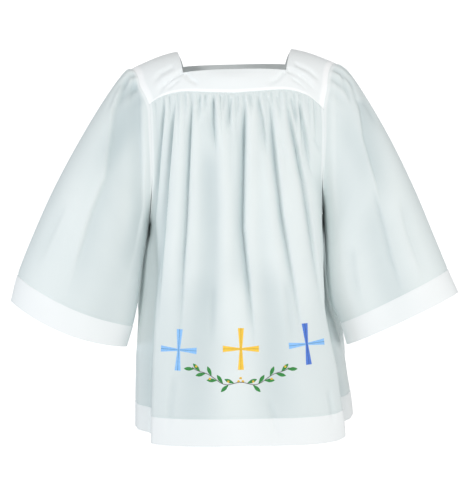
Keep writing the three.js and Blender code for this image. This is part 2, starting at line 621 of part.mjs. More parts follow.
/**
 * Closed wall around a surface. rows lists v with the number of columns, which may halve
 * from one row to the next; a wrapped surface closes on itself in u. seamNormal gives
 * the direction across the cloth where pieces share it, and null elsewhere.
 */
function wall(surface, { rows, from = 0, to = 1, wrapped = false, thickness, seamNormal }) {
  const positions = [];
  const index = [];
  const rings = rows.map(({ v, columns }) => {
    const count = wrapped ? columns : columns + 1;
    const first = positions.length / 3;
    for (let i = 0; i < count; i += 1) {
      const u = lerp(from, to, i / columns);
      const point = surface(u, v);
      const shared = seamNormal ? seamNormal(u, v) : null;
      const offset = (shared ?? surfaceNormal(surface, u, v)).multiplyScalar(thickness / 2);
      positions.push(...point.clone().add(offset).toArray(), ...point.clone().sub(offset).toArray());
    }
    return { columns, at: (i, inside) => first + 2 * (wrapped ? i % columns : i) + inside };
  });
  const triangle = (a, b, c, inside) => index.push(...(inside ? [a, c, b] : [a, b, c]));
  for (let r = 0; r + 1 < rings.length; r += 1) {
    const upper = rings[r];
    const lower = rings[r + 1];
    for (const inside of [0, 1]) {
      for (let i = 0; i < lower.columns; i += 1) {
        const low = lower.at(i, inside);
        const lowNext = lower.at(i + 1, inside);
        if (upper.columns === lower.columns) {
          triangle(upper.at(i, inside), low, lowNext, inside);
          triangle(upper.at(i, inside), lowNext, upper.at(i + 1, inside), inside);
        } else {
          triangle(upper.at(2 * i, inside), low, upper.at(2 * i + 1, inside), inside);
          triangle(upper.at(2 * i + 1, inside), low, lowNext, inside);
          triangle(upper.at(2 * i + 1, inside), lowNext, upper.at(2 * i + 2, inside), inside);
        }
      }
    }
    if (!wrapped) {
      for (const [i, j, flip] of [[0, 0, 0], [upper.columns, lower.columns, 1]]) {
        triangle(upper.at(i, 0), upper.at(i, 1), lower.at(j, 1), flip);
        triangle(upper.at(i, 0), lower.at(j, 1), lower.at(j, 0), flip);
      }
    }
  }
  for (const [ring, flip] of [[rings[0], 0], [rings[rings.length - 1], 1]]) {
    for (let i = 0; i < ring.columns; i += 1) {
      triangle(ring.at(i, 0), ring.at(i + 1, 0), ring.at(i + 1, 1), flip);
      triangle(ring.at(i, 0), ring.at(i + 1, 1), ring.at(i, 1), flip);
    }
  }
  const geometry = new THREE.BufferGeometry();
  geometry.setAttribute('position', new THREE.Float32BufferAttribute(positions, 3));
  geometry.setIndex(facingOut(positions, index));
  geometry.computeVertexNormals();
  return geometry;
}

/** The triangles of a closed mesh, turned round where they enclose a negative volume. */
function facingOut(positions, index) {
  const corner = (i) => new THREE.Vector3().fromArray(positions, 3 * i);
  let volume = 0;
  for (let i = 0; i < index.length; i += 3) {
    const [a, b, c] = [corner(index[i]), corner(index[i + 1]), corner(index[i + 2])];
    volume += a.dot(b.cross(c));
  }
  if (volume > 0) {
    return index;
  }
  return index.map((_, i) => index[i % 3 === 0 ? i : i % 3 === 1 ? i + 1 : i - 1]);
}

/** Rows of a panel with one number of columns. */
function evenRows(values, columns) {
  return values.map((v) => ({ v, columns }));
}

// ---------------------------------------------------------------- pieces

const cloth = { color: 0xdfe8e6, roughness: 0.85, metalness: 0, side: THREE.DoubleSide };
const bandCloth = { ...cloth, color: 0xf1f6f5 };

/** A named mesh with a material of its own. */
function piece(name, geometry, finish) {
  const mesh = new THREE.Mesh(geometry, new THREE.MeshStandardMaterial(finish));
  mesh.name = name;
  return mesh;
}

/** Yoke of one face: a strap over each shoulder and the band below the neck. */
function yoke(face) {
  const { left, band, right, across } = YOKE_STEPS;
  const along = [];
  for (let i = 0; i <= left + band + right; i += 1) {
    const past = i - left;
    if (past <= 0) {
      along.push(i / left);
    } else {
      along.push(past <= band ? 1 + past / band : 2 + (past - band) / right);
    }
  }
  const last = along.length - 1;
  const place = (u) => {
    const at = clamp(u, 0, 1) * last;
    const low = Math.min(Math.floor(at), last - 1);
    return lerp(along[low], along[low + 1], at - low);
  };
  const seamNormal = (u, v) => {
    const at = place(u);
    if (v < 1e-6 && (at <= 1 || at >= 2)) {
      const side = at <= 1 ? 'left' : 'right';
      const down = at <= 1 ? at : 3 - at;
      return armholeNormal(side, face, down * ARMHOLE[side].yokeEnd);
    }
    const point = yokeSurface(face, at, v);
    return shoulderNormal(face, point.x, shoulderAngle(Math.max(shoulderHeight(point.x) - point.z, 0)));
  };
  const rows = evenRows(Array.from({ length: across + 1 }, (_, i) => i / across), last);
  const surface = (u, v) => yokeSurface(face, place(u), v);
  return piece(`yoke_${face}`, wall(surface, { rows, thickness: YOKE_CLOTH, seamNormal }), bandCloth);
}

/** Directions across the cloth along a body panel's seams. */
function bodySeamNormal(face) {
  return (u, v) => {
    const left = face === 'front' ? u < 1e-6 : u > 1 - 1e-6;
    const right = face === 'front' ? u > 1 - 1e-6 : u < 1e-6;
    if (left || right) {
      const side = left ? 'left' : 'right';
      const { sign, underarm } = ARMHOLE[side];
      const { middle, half } = armholeHeights(side);
      const { z } = bodyEdge(face, side, v);
      const angle = Math.acos(clamp((z - middle) / half, -1, 1));
      return z >= underarm ? armholeNormal(side, face, angle) : new THREE.Vector3(sign, 0, 0);
    }
    if (v < 1e-6) {
      const { x, angle } = yokeEdge(face, face === 'front' ? u : 1 - u);
      return shoulderNormal(face, x, angle);
    }
    return null;
  };
}

/** Gathered panel of one face, from the yoke to the hem band. */
function bodyPanel(face) {
  const rows = [...evenRows(FINE_ROWS, 2 * BODY_COLUMNS), ...evenRows(BODY_ROWS, BODY_COLUMNS)];
  const surface = (u, v) => bodySurface(face, u, v);
  const shape = { rows, thickness: CLOTH, seamNormal: bodySeamNormal(face) };
  return piece(`body_${face}`, wall(surface, shape), cloth);
}

/** Hem band of one face, which carries on the gathered panel. */
function hemBand(face) {
  const start = HEM_BAND_TOP + SEAM_GAP / 730;
  const rows = evenRows([start, ...HEM_ROWS], BODY_COLUMNS);
  const surface = (u, v) => bodySurface(face, u, v);
  const shape = { rows, thickness: BAND_CLOTH, seamNormal: bodySeamNormal(face) };
  return piece(`hem_band_${face}`, wall(surface, shape), bandCloth);
}

/** Bell sleeve of one side, from the armhole to the cuff band. */
function sleeve(side, name) {
  const seamNormal = (u, v) => {
    if (v > 1e-6) {
      return null;
    }
    const angle = u * 2 * Math.PI;
    const front = angle <= Math.PI;
    return armholeNormal(side, front ? 'front' : 'back', front ? angle : 2 * Math.PI - angle);
  };
  const rows = evenRows(SLEEVE_ROWS, SLEEVE_COLUMNS);
  const surface = (u, v) => sleeveSurface(side, u, v);
  return piece(name, wall(surface, { rows, wrapped: true, thickness: CLOTH, seamNormal }), cloth);
}

/** Cuff band of one side, which carries on the sleeve. */
function cuffBand(side, name) {
  const rows = evenRows([CUFF_BAND_TOP + SEAM_GAP / 480, ...CUFF_ROWS], SLEEVE_COLUMNS);
  const surface = (u, v) => sleeveSurface(side, u, v);
  return piece(name, wall(surface, { rows, wrapped: true, thickness: BAND_CLOTH }), bandCloth);
}

const surplice = new THREE.Group();
surplice.add(yoke('front'), yoke('back'));
surplice.add(bodyPanel('front'), bodyPanel('back'));
surplice.add(sleeve('left', 'sleeve_right'), sleeve('right', 'sleeve_left'));
surplice.add(hemBand('front'), hemBand('back'));
surplice.add(cuffBand('left', 'cuff_band_right'), cuffBand('right', 'cuff_band_left'));

export default surplice;
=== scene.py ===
"""The looks of a gathered surplice: cloth, bands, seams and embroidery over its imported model.

Shapes are worked out in millimetres and made in metres. +Z is up, the front faces -Y, and
the wearer's left side is +X. Each piece of cloth is a thin closed shell whose grid has one
coordinate across the cloth and one from its top edge to its bottom edge.
"""

import logging
import math
from dataclasses import dataclass, field
from enum import Enum
from itertools import product

import bpy
import numpy as np
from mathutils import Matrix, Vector


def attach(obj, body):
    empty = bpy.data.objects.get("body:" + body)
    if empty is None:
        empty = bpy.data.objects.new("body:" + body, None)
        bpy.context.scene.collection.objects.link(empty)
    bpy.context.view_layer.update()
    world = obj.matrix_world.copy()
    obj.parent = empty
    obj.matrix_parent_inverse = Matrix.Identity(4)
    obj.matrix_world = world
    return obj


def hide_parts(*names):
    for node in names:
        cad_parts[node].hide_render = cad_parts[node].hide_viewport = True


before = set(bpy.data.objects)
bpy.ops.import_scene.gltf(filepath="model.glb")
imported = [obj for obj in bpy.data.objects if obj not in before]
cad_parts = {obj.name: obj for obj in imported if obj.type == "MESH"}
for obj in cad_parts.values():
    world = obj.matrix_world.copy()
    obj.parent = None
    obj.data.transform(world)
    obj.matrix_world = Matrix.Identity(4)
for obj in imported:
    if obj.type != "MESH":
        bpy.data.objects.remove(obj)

LOG = logging.getLogger("surplice")
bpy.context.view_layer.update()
MM = 0.001
Arrays = tuple[np.ndarray, np.ndarray]
Colour = tuple[float, float, float]
Row = tuple[float, ...]
Socket = bpy.types.NodeSocket


class Face(Enum):
    """The two faces of the garment, each with its direction along Y."""

    FRONT = -1
    BACK = 1


class Side(Enum):
    """The two sides of the wearer, each with its direction along X."""

    RIGHT = -1
    LEFT = 1


# ---------------------------------------------------------------- curves


def smooth(value: np.ndarray | float, low: float, high: float) -> np.ndarray:
    """Smooth step of a value from 0 at low to 1 at high."""
    t = np.clip((np.asarray(value, float) - low) / (high - low), 0.0, 1.0)
    return t * t * (3 - 2 * t)


def mix(a: np.ndarray | float, b: np.ndarray | float, t: np.ndarray | float) -> np.ndarray:
    """Value between a and b at a share of the way."""
    return a + (b - a) * t


def hump(distance: np.ndarray, half_width: np.ndarray | float) -> np.ndarray:
    """A smooth hump of height 1 at distance 0, which ends at two half widths."""
    d = np.minimum(np.abs(distance) / (2 * half_width), 1.0)
    return (1 - d * d) ** 3


def heading(degrees: float) -> np.ndarray:
    """Unit vector in X and Z that points so many degrees from +X towards +Z."""
    return np.array([math.cos(math.radians(degrees)), math.sin(math.radians(degrees))])


def unit(vectors: np.ndarray) -> np.ndarray:
    """The same directions with length 1."""
    return vectors / np.maximum(np.linalg.norm(vectors, axis=-1, keepdims=True), 1e-12)


def as_points(x: np.ndarray, y: np.ndarray, z: np.ndarray) -> np.ndarray:
    """Points from three coordinates of any matching shapes."""
    return np.stack(np.broadcast_arrays(x, y, z), axis=-1).astype(float)


class Table:
    """Smooth curves through the rows of a short table of sizes.

    Args:
        names: the column names; the first column is the key, rising or falling.
        rows: one tuple of sizes for each row.
    """

    def __init__(self, names: str, *rows: Row) -> None:
        """Sorts the rows by their key and finds the slope at each."""
        data = np.array(rows, float)
        self.names = names.split()
        self.data = data[np.argsort(data[:, 0])]
        before = np.maximum(np.arange(len(data)) - 1, 0)
        after = np.minimum(np.arange(len(data)) + 1, len(data) - 1)
        rise = self.data[after] - self.data[before]
        self.slopes = rise / rise[:, :1]

    def at(self, name: str, value: np.ndarray | float) -> np.ndarray:
        """Value of a column where the key has the given value.

        Args:
            name: the column's name.
            value: one key value or an array of them.

        Returns:
            The column's values there, in the shape of value.
        """
        key = self.data[:, 0]
        column = self.names.index(name)
        value = np.asarray(value, float)
        i = np.clip(np.searchsorted(key, value, side="right") - 1, 0, len(key) - 2)
        span = key[i + 1] - key[i]
        t = np.clip((value - key[i]) / span, 0.0, 1.0)
        t2, t3 = t * t, t * t * t
        return (
            (2 * t3 - 3 * t2 + 1) * self.data[i, column]
            + (t3 - 2 * t2 + t) * span * self.slopes[i, column]
            + (3 * t2 - 2 * t3) * self.data[i + 1, column]
            + (t3 - t2) * span * self.slopes[i + 1, column]
        )


@dataclass(frozen=True)
class Crease:
    """A soft line pressed into the cloth, or standing out of it where depth is negative.

    The line runs through points in the XZ plane, and fades out at its end and, where fades
    is set, in at its start too. Where lean is more than 1, its wall on the -X side is the
    wider one.
    """

    points: tuple[tuple[float, float], ...]
    depth: float
    width: float
    lean: float = 1.0
    fades: bool = True
    soft_start: float = 0.22
    sharp_start: float = 0.04
    end_from: float = 0.6

    def depth_at(self, x: np.ndarray, z: np.ndarray) -> np.ndarray:
        """Depth of the crease at places on the cloth.

        Args:
            x: the places' distances along X.
            z: their heights.

        Returns:
            The depth at each place.
        """
        line = np.array(self.points, float)
        total = float(np.linalg.norm(np.diff(line, axis=0), axis=1).sum())
        best = np.full(np.shape(x), 1e9)
        along, side = np.zeros(np.shape(x)), np.zeros(np.shape(x))
        run = 0.0
        for start, end in zip(line[:-1], line[1:]):
            step = end - start
            length = float(np.linalg.norm(step))
            t = np.clip(((x - start[0]) * step[0] + (z - start[1]) * step[1]) / length**2, 0, 1)
            away = np.hypot(x - start[0] - t * step[0], z - start[1] - t * step[1])
            nearer = away < best
            best = np.where(nearer, away, best)
            along = np.where(nearer, run + t * length, along)
            side = np.where(nearer, x - start[0] - t * step[0], side)
            run += length
        share = along / total
        strength = smooth(share, 0, self.soft_start if self.fades else self.sharp_start)
        strength = strength * (1 - smooth(share, self.end_from, 1))
        width = self.width * np.where(side < 0, self.lean, 1 / self.lean)
        return self.depth * strength * hump(best, width)


def creases(lines: tuple[Crease, ...], x: np.ndarray, z: np.ndarray) -> np.ndarray:
    """Depth of several creases together at places on the cloth."""
    return sum((line.depth_at(x, z) for line in lines), np.zeros(np.shape(x)))


# ---------------------------------------------------------------- shoulders


@dataclass(frozen=True)
class Shoulders:
    """The surface that the yoke lies on: a quarter ellipse from shoulder line to chest."""

    seam_y: float = 5.0
    tilt: float = 0.0244
    drop: float = 110.0
    rounding: float = 2.5
    span: float = 180.0
    top: dict[Face, float] = field(default_factory=lambda: {Face.FRONT: 105.0, Face.BACK: 96.0})
    loss: dict[Face, float] = field(default_factory=lambda: {Face.FRONT: 30.0, Face.BACK: 22.0})
    fall: Table = Table(
        "out fall",
        (0, 0), (90, 0), (126, 2.5), (163, 12), (207, 29.5), (221, 36), (250, 51),
    )

    def height(self, x: np.ndarray | float) -> np.ndarray:
        """Height of the shoulder line at x."""
        return self.tilt * np.asarray(x, float) - self.fall.at("fall", np.abs(x))

    def point(self, face: Face, x: np.ndarray, angle: np.ndarray) -> np.ndarray:
        """Points of the surface; angle 0 is the shoulder line and 90 degrees the chest."""
        depth = self.top[face] - self.loss[face] * (np.abs(x) / self.span) ** self.rounding
        y = self.seam_y + face.value * depth * np.sin(angle)
        return as_points(x, y, self.height(x) - self.drop * (1 - np.cos(angle)))

    def angle(self, drop: np.ndarray | float) -> np.ndarray:
        """Angle at a distance below the shoulder line."""
        return np.arccos(np.clip(1 - np.asarray(drop, float) / self.drop, -1, 1))

    def normal(self, face: Face, x: np.ndarray, angle: np.ndarray) -> np.ndarray:
        """Directions out of the surface, from small steps over it."""
        over = self.point(face, x + 1, angle) - self.point(face, x - 1, angle)
        down = self.point(face, x, angle + 0.002) - self.point(face, x, angle - 0.002)
        return unit(np.cross(down, over)) * -face.value


SHOULDERS = Shoulders()


@dataclass(frozen=True)
class Armhole:
    """The seam round one armhole; its angle is 0 at the shoulder tip and PI at the underarm."""

    side: Side
    underarm: float
    yoke_end: float
    width: Table

    @property
    def heights(self) -> tuple[float, float, float]:
        """Heights of the shoulder tip and of the middle, and half the armhole's height."""
        tip = float(SHOULDERS.height(self.side.value * self.width.data[0, 1]))
        return tip, (tip + self.underarm) / 2, (tip - self.underarm) / 2

    def point(self, face: Face, angle: np.ndarray | float) -> np.ndarray:
        """Points of the seam at angles, on one face of the garment.

        Args:
            face: the face of the garment.
            angle: one angle or an array of them.

        Returns:
            The points in millimetres.
        """
        angle = np.asarray(angle, float)
        tip, middle, half = self.heights

        def on_yoke(at: np.ndarray) -> np.ndarray:
            """The same points as they lie on the shoulder surface."""
            z = middle + half * np.cos(at)
            x = self.side.value * self.width.at("out", tip - z)
            return SHOULDERS.point(face, x, SHOULDERS.angle(np.maximum(SHOULDERS.height(x) - z, 0)))

        corner = on_yoke(np.asarray(self.yoke_end))
        depth = (corner[1] - SHOULDERS.seam_y) / math.sin(self.yoke_end)
        z = middle + half * np.cos(angle)
        x = self.side.value * self.width.at("out", tip - z)
        below = as_points(x, SHOULDERS.seam_y + depth * np.sin(angle), z)
        return np.where((angle <= self.yoke_end)[..., None], on_yoke(angle), below)

    def normal(self, face: Face, angle: np.ndarray) -> np.ndarray:
        """Directions across the cloth along the seam.

        Args:
            face: the face of the garment.
            angle: places along the seam.

        Returns:
            Unit vectors that point out of the armhole.
        """
        angle = np.asarray(angle, float)
        around = as_points(0 * angle, face.value * np.sin(angle), np.cos(angle))
        flat = np.array([self.side.value, 0.0, 0.0])
        return unit(mix(around, flat, smooth(angle, 1.9, 2.7)[..., None]))


ARMHOLES = {
    Side.RIGHT: Armhole(
        Side.RIGHT, -374, math.pi / 3,
        Table(
            "below out",
            (0, 222), (8, 213), (23, 204.5), (42, 200), (64, 188), (86, 179), (105, 176.5),
            (150, 175), (200, 173.5), (260, 174), (300, 177), (330, 181),
        ),
    ),
    Side.LEFT: Armhole(
        Side.LEFT, -348, 7 * math.pi / 18,
        Table(
            "below out",
            (0, 218.6), (8, 209), (23, 202.5), (42, 199), (64, 197), (86, 192), (105, 190),
            (150, 191), (200, 190), (260, 188), (300, 188.5), (330, 190),
        ),
    ),
}


# ---------------------------------------------------------------- meshes


def add_grid(name: str, columns: int, rows: int) -> tuple[bpy.types.Object, np.ndarray, np.ndarray]:
    """Adds a flat grid, to be bent to its points.

    Args:
        name: the piece's name.
        columns: number of cells along X.
        rows: number of cells along Y.

    Returns:
        The grid's object, and the column and the row of each of its vertices.
    """
    bpy.ops.object.select_all(action="DESELECT")
    bpy.ops.mesh.primitive_grid_add(
        x_subdivisions=columns, y_subdivisions=rows, size=2, calc_uvs=True, location=(0, 0, 0)
    )
    piece = bpy.context.object
    piece.name = piece.data.name = name
    flat = np.empty(3 * len(piece.data.vertices))
    piece.data.vertices.foreach_get("co", flat)
    share = (flat.reshape(-1, 3)[:, :2] + 1) / 2
    column, row = np.rint(share * (columns, rows)).astype(int).T
    return piece, column, row


def set_chart(mesh: bpy.types.Mesh, chart: np.ndarray) -> None:
    """Gives a mesh its UV map from a place in metres for each vertex."""
    corners = np.empty(len(mesh.loops), int)
    mesh.loops.foreach_get("vertex_index", corners)
    mesh.uv_layers.active.data.foreach_set("uv", chart[corners].ravel())


def add_wall(piece: bpy.types.Object, thickness: float, offset: float, smooth_to: float) -> None:
    """Thickens a piece to a closed shell and smooths it.

    Args:
        piece: the piece's object.
        thickness: the wall's thickness in millimetres.
        offset: where the wall lies: 0 on both sides of the surface, -1 behind it.
        smooth_to: angle in degrees up to which an edge is smooth.
    """
    wall = piece.modifiers.new("wall", "SOLIDIFY")
    wall.thickness = thickness * MM
    wall.offset = offset
    bpy.ops.object.modifier_apply(modifier=wall.name)
    bpy.ops.object.shade_smooth_by_angle(angle=math.radians(smooth_to))


# ---------------------------------------------------------------- sheets of cloth


@dataclass
class Sheet:
    """A grid of points over one piece of cloth, row by row from its top edge down.

    Args:
        name: the piece's name.
        across: the column coordinates, from 0 to 1, left to right seen from outside.
        down: the row coordinates, from the top edge to the bottom edge.
        points: the points in millimetres, shaped rows, columns, 3.
        cut: width and length of the flat cloth in metres, for the weave.
        wrapped: whether the last column meets the first.
        seam: 1 where the cloth lies double at a seam and 0 elsewhere.
        relief: height of the folds in millimetres, which sets the painted shade in the cloth's
            colour: darker in the valleys, lighter on the ridges.
        fold_range: fold heights where the painted shade is darkest and where the cloth is lightest,
            in millimetres.
        plain_mark: value of a mark on a sheet that has none.
    """

    name: str
    across: np.ndarray
    down: np.ndarray
    points: np.ndarray
    cut: tuple[float, float]
    wrapped: bool = False
    seam: np.ndarray | None = None
    relief: np.ndarray | None = None
    fold_range: tuple[float, float] = (-11.0, 5.0)
    plain_mark: float = 0.75

    def normals(self) -> np.ndarray:
        """Directions out of the cloth at all grid points.

        Returns:
            Unit vectors out of the cloth, one for each point.
        """
        over = np.gradient(self.points, axis=1)
        if self.wrapped:
            ends = self.points[:, 1] - self.points[:, -2]
            over[:, 0] = over[:, -1] = ends / 2
        down = np.gradient(self.points, axis=0)
        return unit(np.cross(down, over))

    def build(self, thickness: float) -> bpy.types.Object:
        """Makes the sheet's mesh: a grid, bent to its points, with a wall of its own.

        Args:
            thickness: the wall's thickness in millimetres.

        Returns:
            The finished mesh object, with its place in its mesh.
        """
        rows = len(self.down) - 1
        sheet, column, row = add_grid(self.name, len(self.across) - 1, rows)
        row = rows - row
        mesh = sheet.data
        mesh.vertices.foreach_set("co", (self.points[row, column] * MM).ravel())
        width, length = self.cut
        set_chart(mesh, np.stack([self.across[column] * width, -self.down[row] * length], axis=1))
        # the fold mark is painted shade: it darkens the cloth's colour in the fold valleys and
        # lightens it on the ridges
        fold = None if self.relief is None else smooth(self.relief, *self.fold_range)
        for name, values in (("seam", self.seam), ("fold", fold)):
            mark = mesh.attributes.new(name, "FLOAT", "POINT")
            if values is None:
                at_points = np.full(len(row), self.plain_mark)
            else:
                at_points = values[row, column].astype(float)
            mark.data.foreach_set("value", at_points)
        mesh.update()
        if self.wrapped:
            bpy.ops.object.mode_set(mode="EDIT")
            bpy.ops.mesh.select_all(action="SELECT")
            bpy.ops.mesh.remove_doubles(threshold=1e-6)
            bpy.ops.object.mode_set(mode="OBJECT")
        add_wall(sheet, thickness, offset=0.0, smooth_to=55)
        return sheet

    def row_path(self, share: float, lift: float) -> Arrays:
        """A line across the sheet at a share of its rows.

        Args:
            share: 0 for the top row and 1 for the bottom row.
            lift: distance of the line above the cloth's middle, in millimetres.

        Returns:
            The line's points in millimetres and the directions out of the cloth there.
        """
        at = share * (len(self.down) - 1)
        low = min(int(at), len(self.down) - 2)
        points = mix(self.points[low], self.points[low + 1], at - low)
        normals = self.normals()[low]
        return points + lift * normals, normals


# ---------------------------------------------------------------- yoke


@dataclass
class Yoke:
    """The yoke of one face: a strap over each shoulder and the band below the neck."""

    face: Face
    neck_half_width: float = 126.0
    thickness: float = 1.2
    seam_gap: float = 0.3
    steps: tuple[int, int, int] = (26, 130, 30)
    rows: int = 26
    back_drag: float = 0.5
    stitch_rows: tuple[float, float] = (0.04, 0.87)
    cut: tuple[float, float] = (0.62, 0.11)
    neck: dict[Face, tuple[float, float, float, float]] = field(
        default_factory=lambda: {Face.FRONT: (108, 110, 55.5, 52), Face.BACK: (112, 112, 27, 25)}
    )
    edge: Table = Table(
        "out FRONT BACK",
        (0, 103, 108), (60, 100, 108), (105, 97, 108), (140, 97.5, 108),
        (158, 99, 109), (170, 102, 110), (180, 106, 112), (190, 110, 114),
    )
    drag: tuple[Crease, ...] = (
        Crease(((-106, -56), (-128, -68), (-152, -86), (-166, -112)), 4.6, 5, fades=False),
        Crease(((-118, -56), (-146, -70), (-166, -92)), -2.8, 5),
        Crease(((-128, -44), (-156, -58), (-178, -84)), 3.2, 4, fades=False),
        Crease(((-112, -70), (-132, -86), (-148, -98)), 2.6, 4),
        Crease(((-104, -60), (-92, -74), (-70, -88)), 3.8, 5, fades=False),
        Crease(((110, -52), (134, -62), (160, -80), (180, -106)), 4.6, 5, fades=False),
        Crease(((124, -48), (152, -62), (182, -86)), -2.8, 5),
        Crease(((128, -38), (160, -52), (188, -78)), 3.2, 4, fades=False),
        Crease(((118, -68), (140, -82), (158, -98)), 2.6, 4),
        Crease(((106, -56), (92, -72), (66, -88)), 3.8, 5, fades=False),
        Crease(((-60, -66), (-10, -72), (50, -68)), -1.8, 12),
    )

    def lower_edge(self, share: np.ndarray | float) -> Arrays:
        """X and angle of the gathered seam at a share of its width.

        Args:
            share: shares of the width, 0 at the wearer's right.

        Returns:
            X in millimetres and the angle on the shoulder surface.
        """
        left = ARMHOLES[Side.RIGHT].point(self.face, ARMHOLES[Side.RIGHT].yoke_end)
        right = ARMHOLES[Side.LEFT].point(self.face, ARMHOLES[Side.LEFT].yoke_end)
        name = self.face.name

        def missing(corner: np.ndarray) -> float:
            """What the seam lacks in height where it meets an armhole."""
            drop = float(self.edge.at(name, abs(corner[0])))
            return float(SHOULDERS.height(corner[0])) - corner[2] - drop

        share = np.asarray(share, float)
        x = mix(left[0], right[0], share)
        drop = self.edge.at(name, np.abs(x))
        drop = drop + missing(left) * (1 - share) ** 10 + missing(right) * share**10
        return x, SHOULDERS.angle(drop)

    def neck_edge(self, share: float) -> tuple[float, float]:
        """X and angle of the neck opening's lower edge at a share of its width."""
        left, right, corner, middle = self.neck[self.face]
        drop = mix(middle, corner, (2 * share - 1) ** 2)
        return float(mix(-left, right, share)), float(SHOULDERS.angle(drop))

    def column(self, along: float, across: np.ndarray) -> np.ndarray:
        """Points from the outer edge (0) to the neck (1) at one place along the yoke.

        Args:
            along: place along the yoke: 0 to 1 down the right strap, to 2 over the band, to 3 up
                the left strap.
            across: shares of the way from the outer edge to the neck.

        Returns:
            The points in millimetres.
        """
        if 1 <= along <= 2:
            outer = [float(v) for v in self.lower_edge(along - 1)]
            inner = self.neck_edge(along - 1)
        else:
            side = Side.RIGHT if along < 1 else Side.LEFT
            down = along if along < 1 else 3 - along
            start = 0.0 if self.face is Face.FRONT else self.seam_gap / SHOULDERS.top[Face.BACK]
            armhole = ARMHOLES[side]
            seam = armhole.point(self.face, mix(start, armhole.yoke_end, down))
            drop = max(float(SHOULDERS.height(seam[0])) - seam[2], 0.0)
            corner = self.neck_edge(0.0 if side is Side.RIGHT else 1.0)
            outer = [seam[0], max(float(SHOULDERS.angle(drop)), start)]
            inner = [
                float(mix(side.value * self.neck_half_width, corner[0], down)),
                max(float(mix(start, corner[1], down)), start),
            ]
        x = mix(outer[0], inner[0], across)
        angle = mix(outer[1], inner[1], across)
        points = SHOULDERS.point(self.face, x, angle)
        front = self.face is Face.FRONT
        depth = creases(self.drag, x if front else -x, points[:, 2])
        depth = depth * (1.0 if front else self.back_drag)
        rim = smooth(across, 0.0, 0.08) * smooth(1 - across, 0.0, 0.06)
        return points - (depth * rim)[:, None] * SHOULDERS.normal(self.face, x, angle)

    def sheet(self) -> Sheet:
        """The yoke's grid: its columns follow the yoke round the neck.

        Returns:
            The sheet, ready to build.
        """
        left, band, right = self.steps
        along = np.concatenate([
            np.arange(left) / left,
            1 + np.arange(band) / band,
            2 + np.arange(right + 1) / right,
        ])
        if self.face is Face.BACK:
            along = along[::-1]
        down = np.linspace(0, 1, self.rows + 1)
        points = np.stack([self.column(float(a), 1 - down) for a in along], axis=1)
        count = len(along)
        seam = np.broadcast_to(smooth(down, 0.86, 0.9)[:, None], (len(down), count)).copy()
        name = f"yoke_{self.face.name.lower()}_cloth"
        return Sheet(name, np.linspace(0, 1, count), down, points, self.cut, seam=seam)


# ---------------------------------------------------------------- gathered panels


@dataclass(frozen=True)
class Pleat:
    """Section of the long folds: reaches and steepness in millimetres, depths as shares."""

    widening: float = 0.8
    reach: float = 1.9
    step: float = 2.6
    ridge: float = 0.28
    ridge_at: float = 9.5
    ridge_width: float = 8.5
    crease: float = 0.5
    crease_reach: float = 7.0
    crease_step: float = 1.6

    @staticmethod
    def lean(away: np.ndarray, reach: float, step: float) -> np.ndarray:
        """Section of a leaning fold: falls slowly from the wearer's right, then rises in a step."""
        slow = np.clip(1 + away / reach, 0, 1) ** 2
        return np.where(away < 0, slow, hump(away, step))

    def depth(self, away: np.ndarray, deep: float, width: float) -> np.ndarray:
        """Depth of a fold with the ridge that stands beside it."""
        fold = self.lean(away, self.reach * width, self.step)
        return deep * (fold - self.ridge * hump(away - self.ridge_at, self.ridge_width))

    def line(self, away: np.ndarray, deep: float) -> np.ndarray:
        """Depth of the narrow crease along a fold's bottom."""
        return self.crease * deep * self.lean(away, self.crease_reach, self.crease_step)


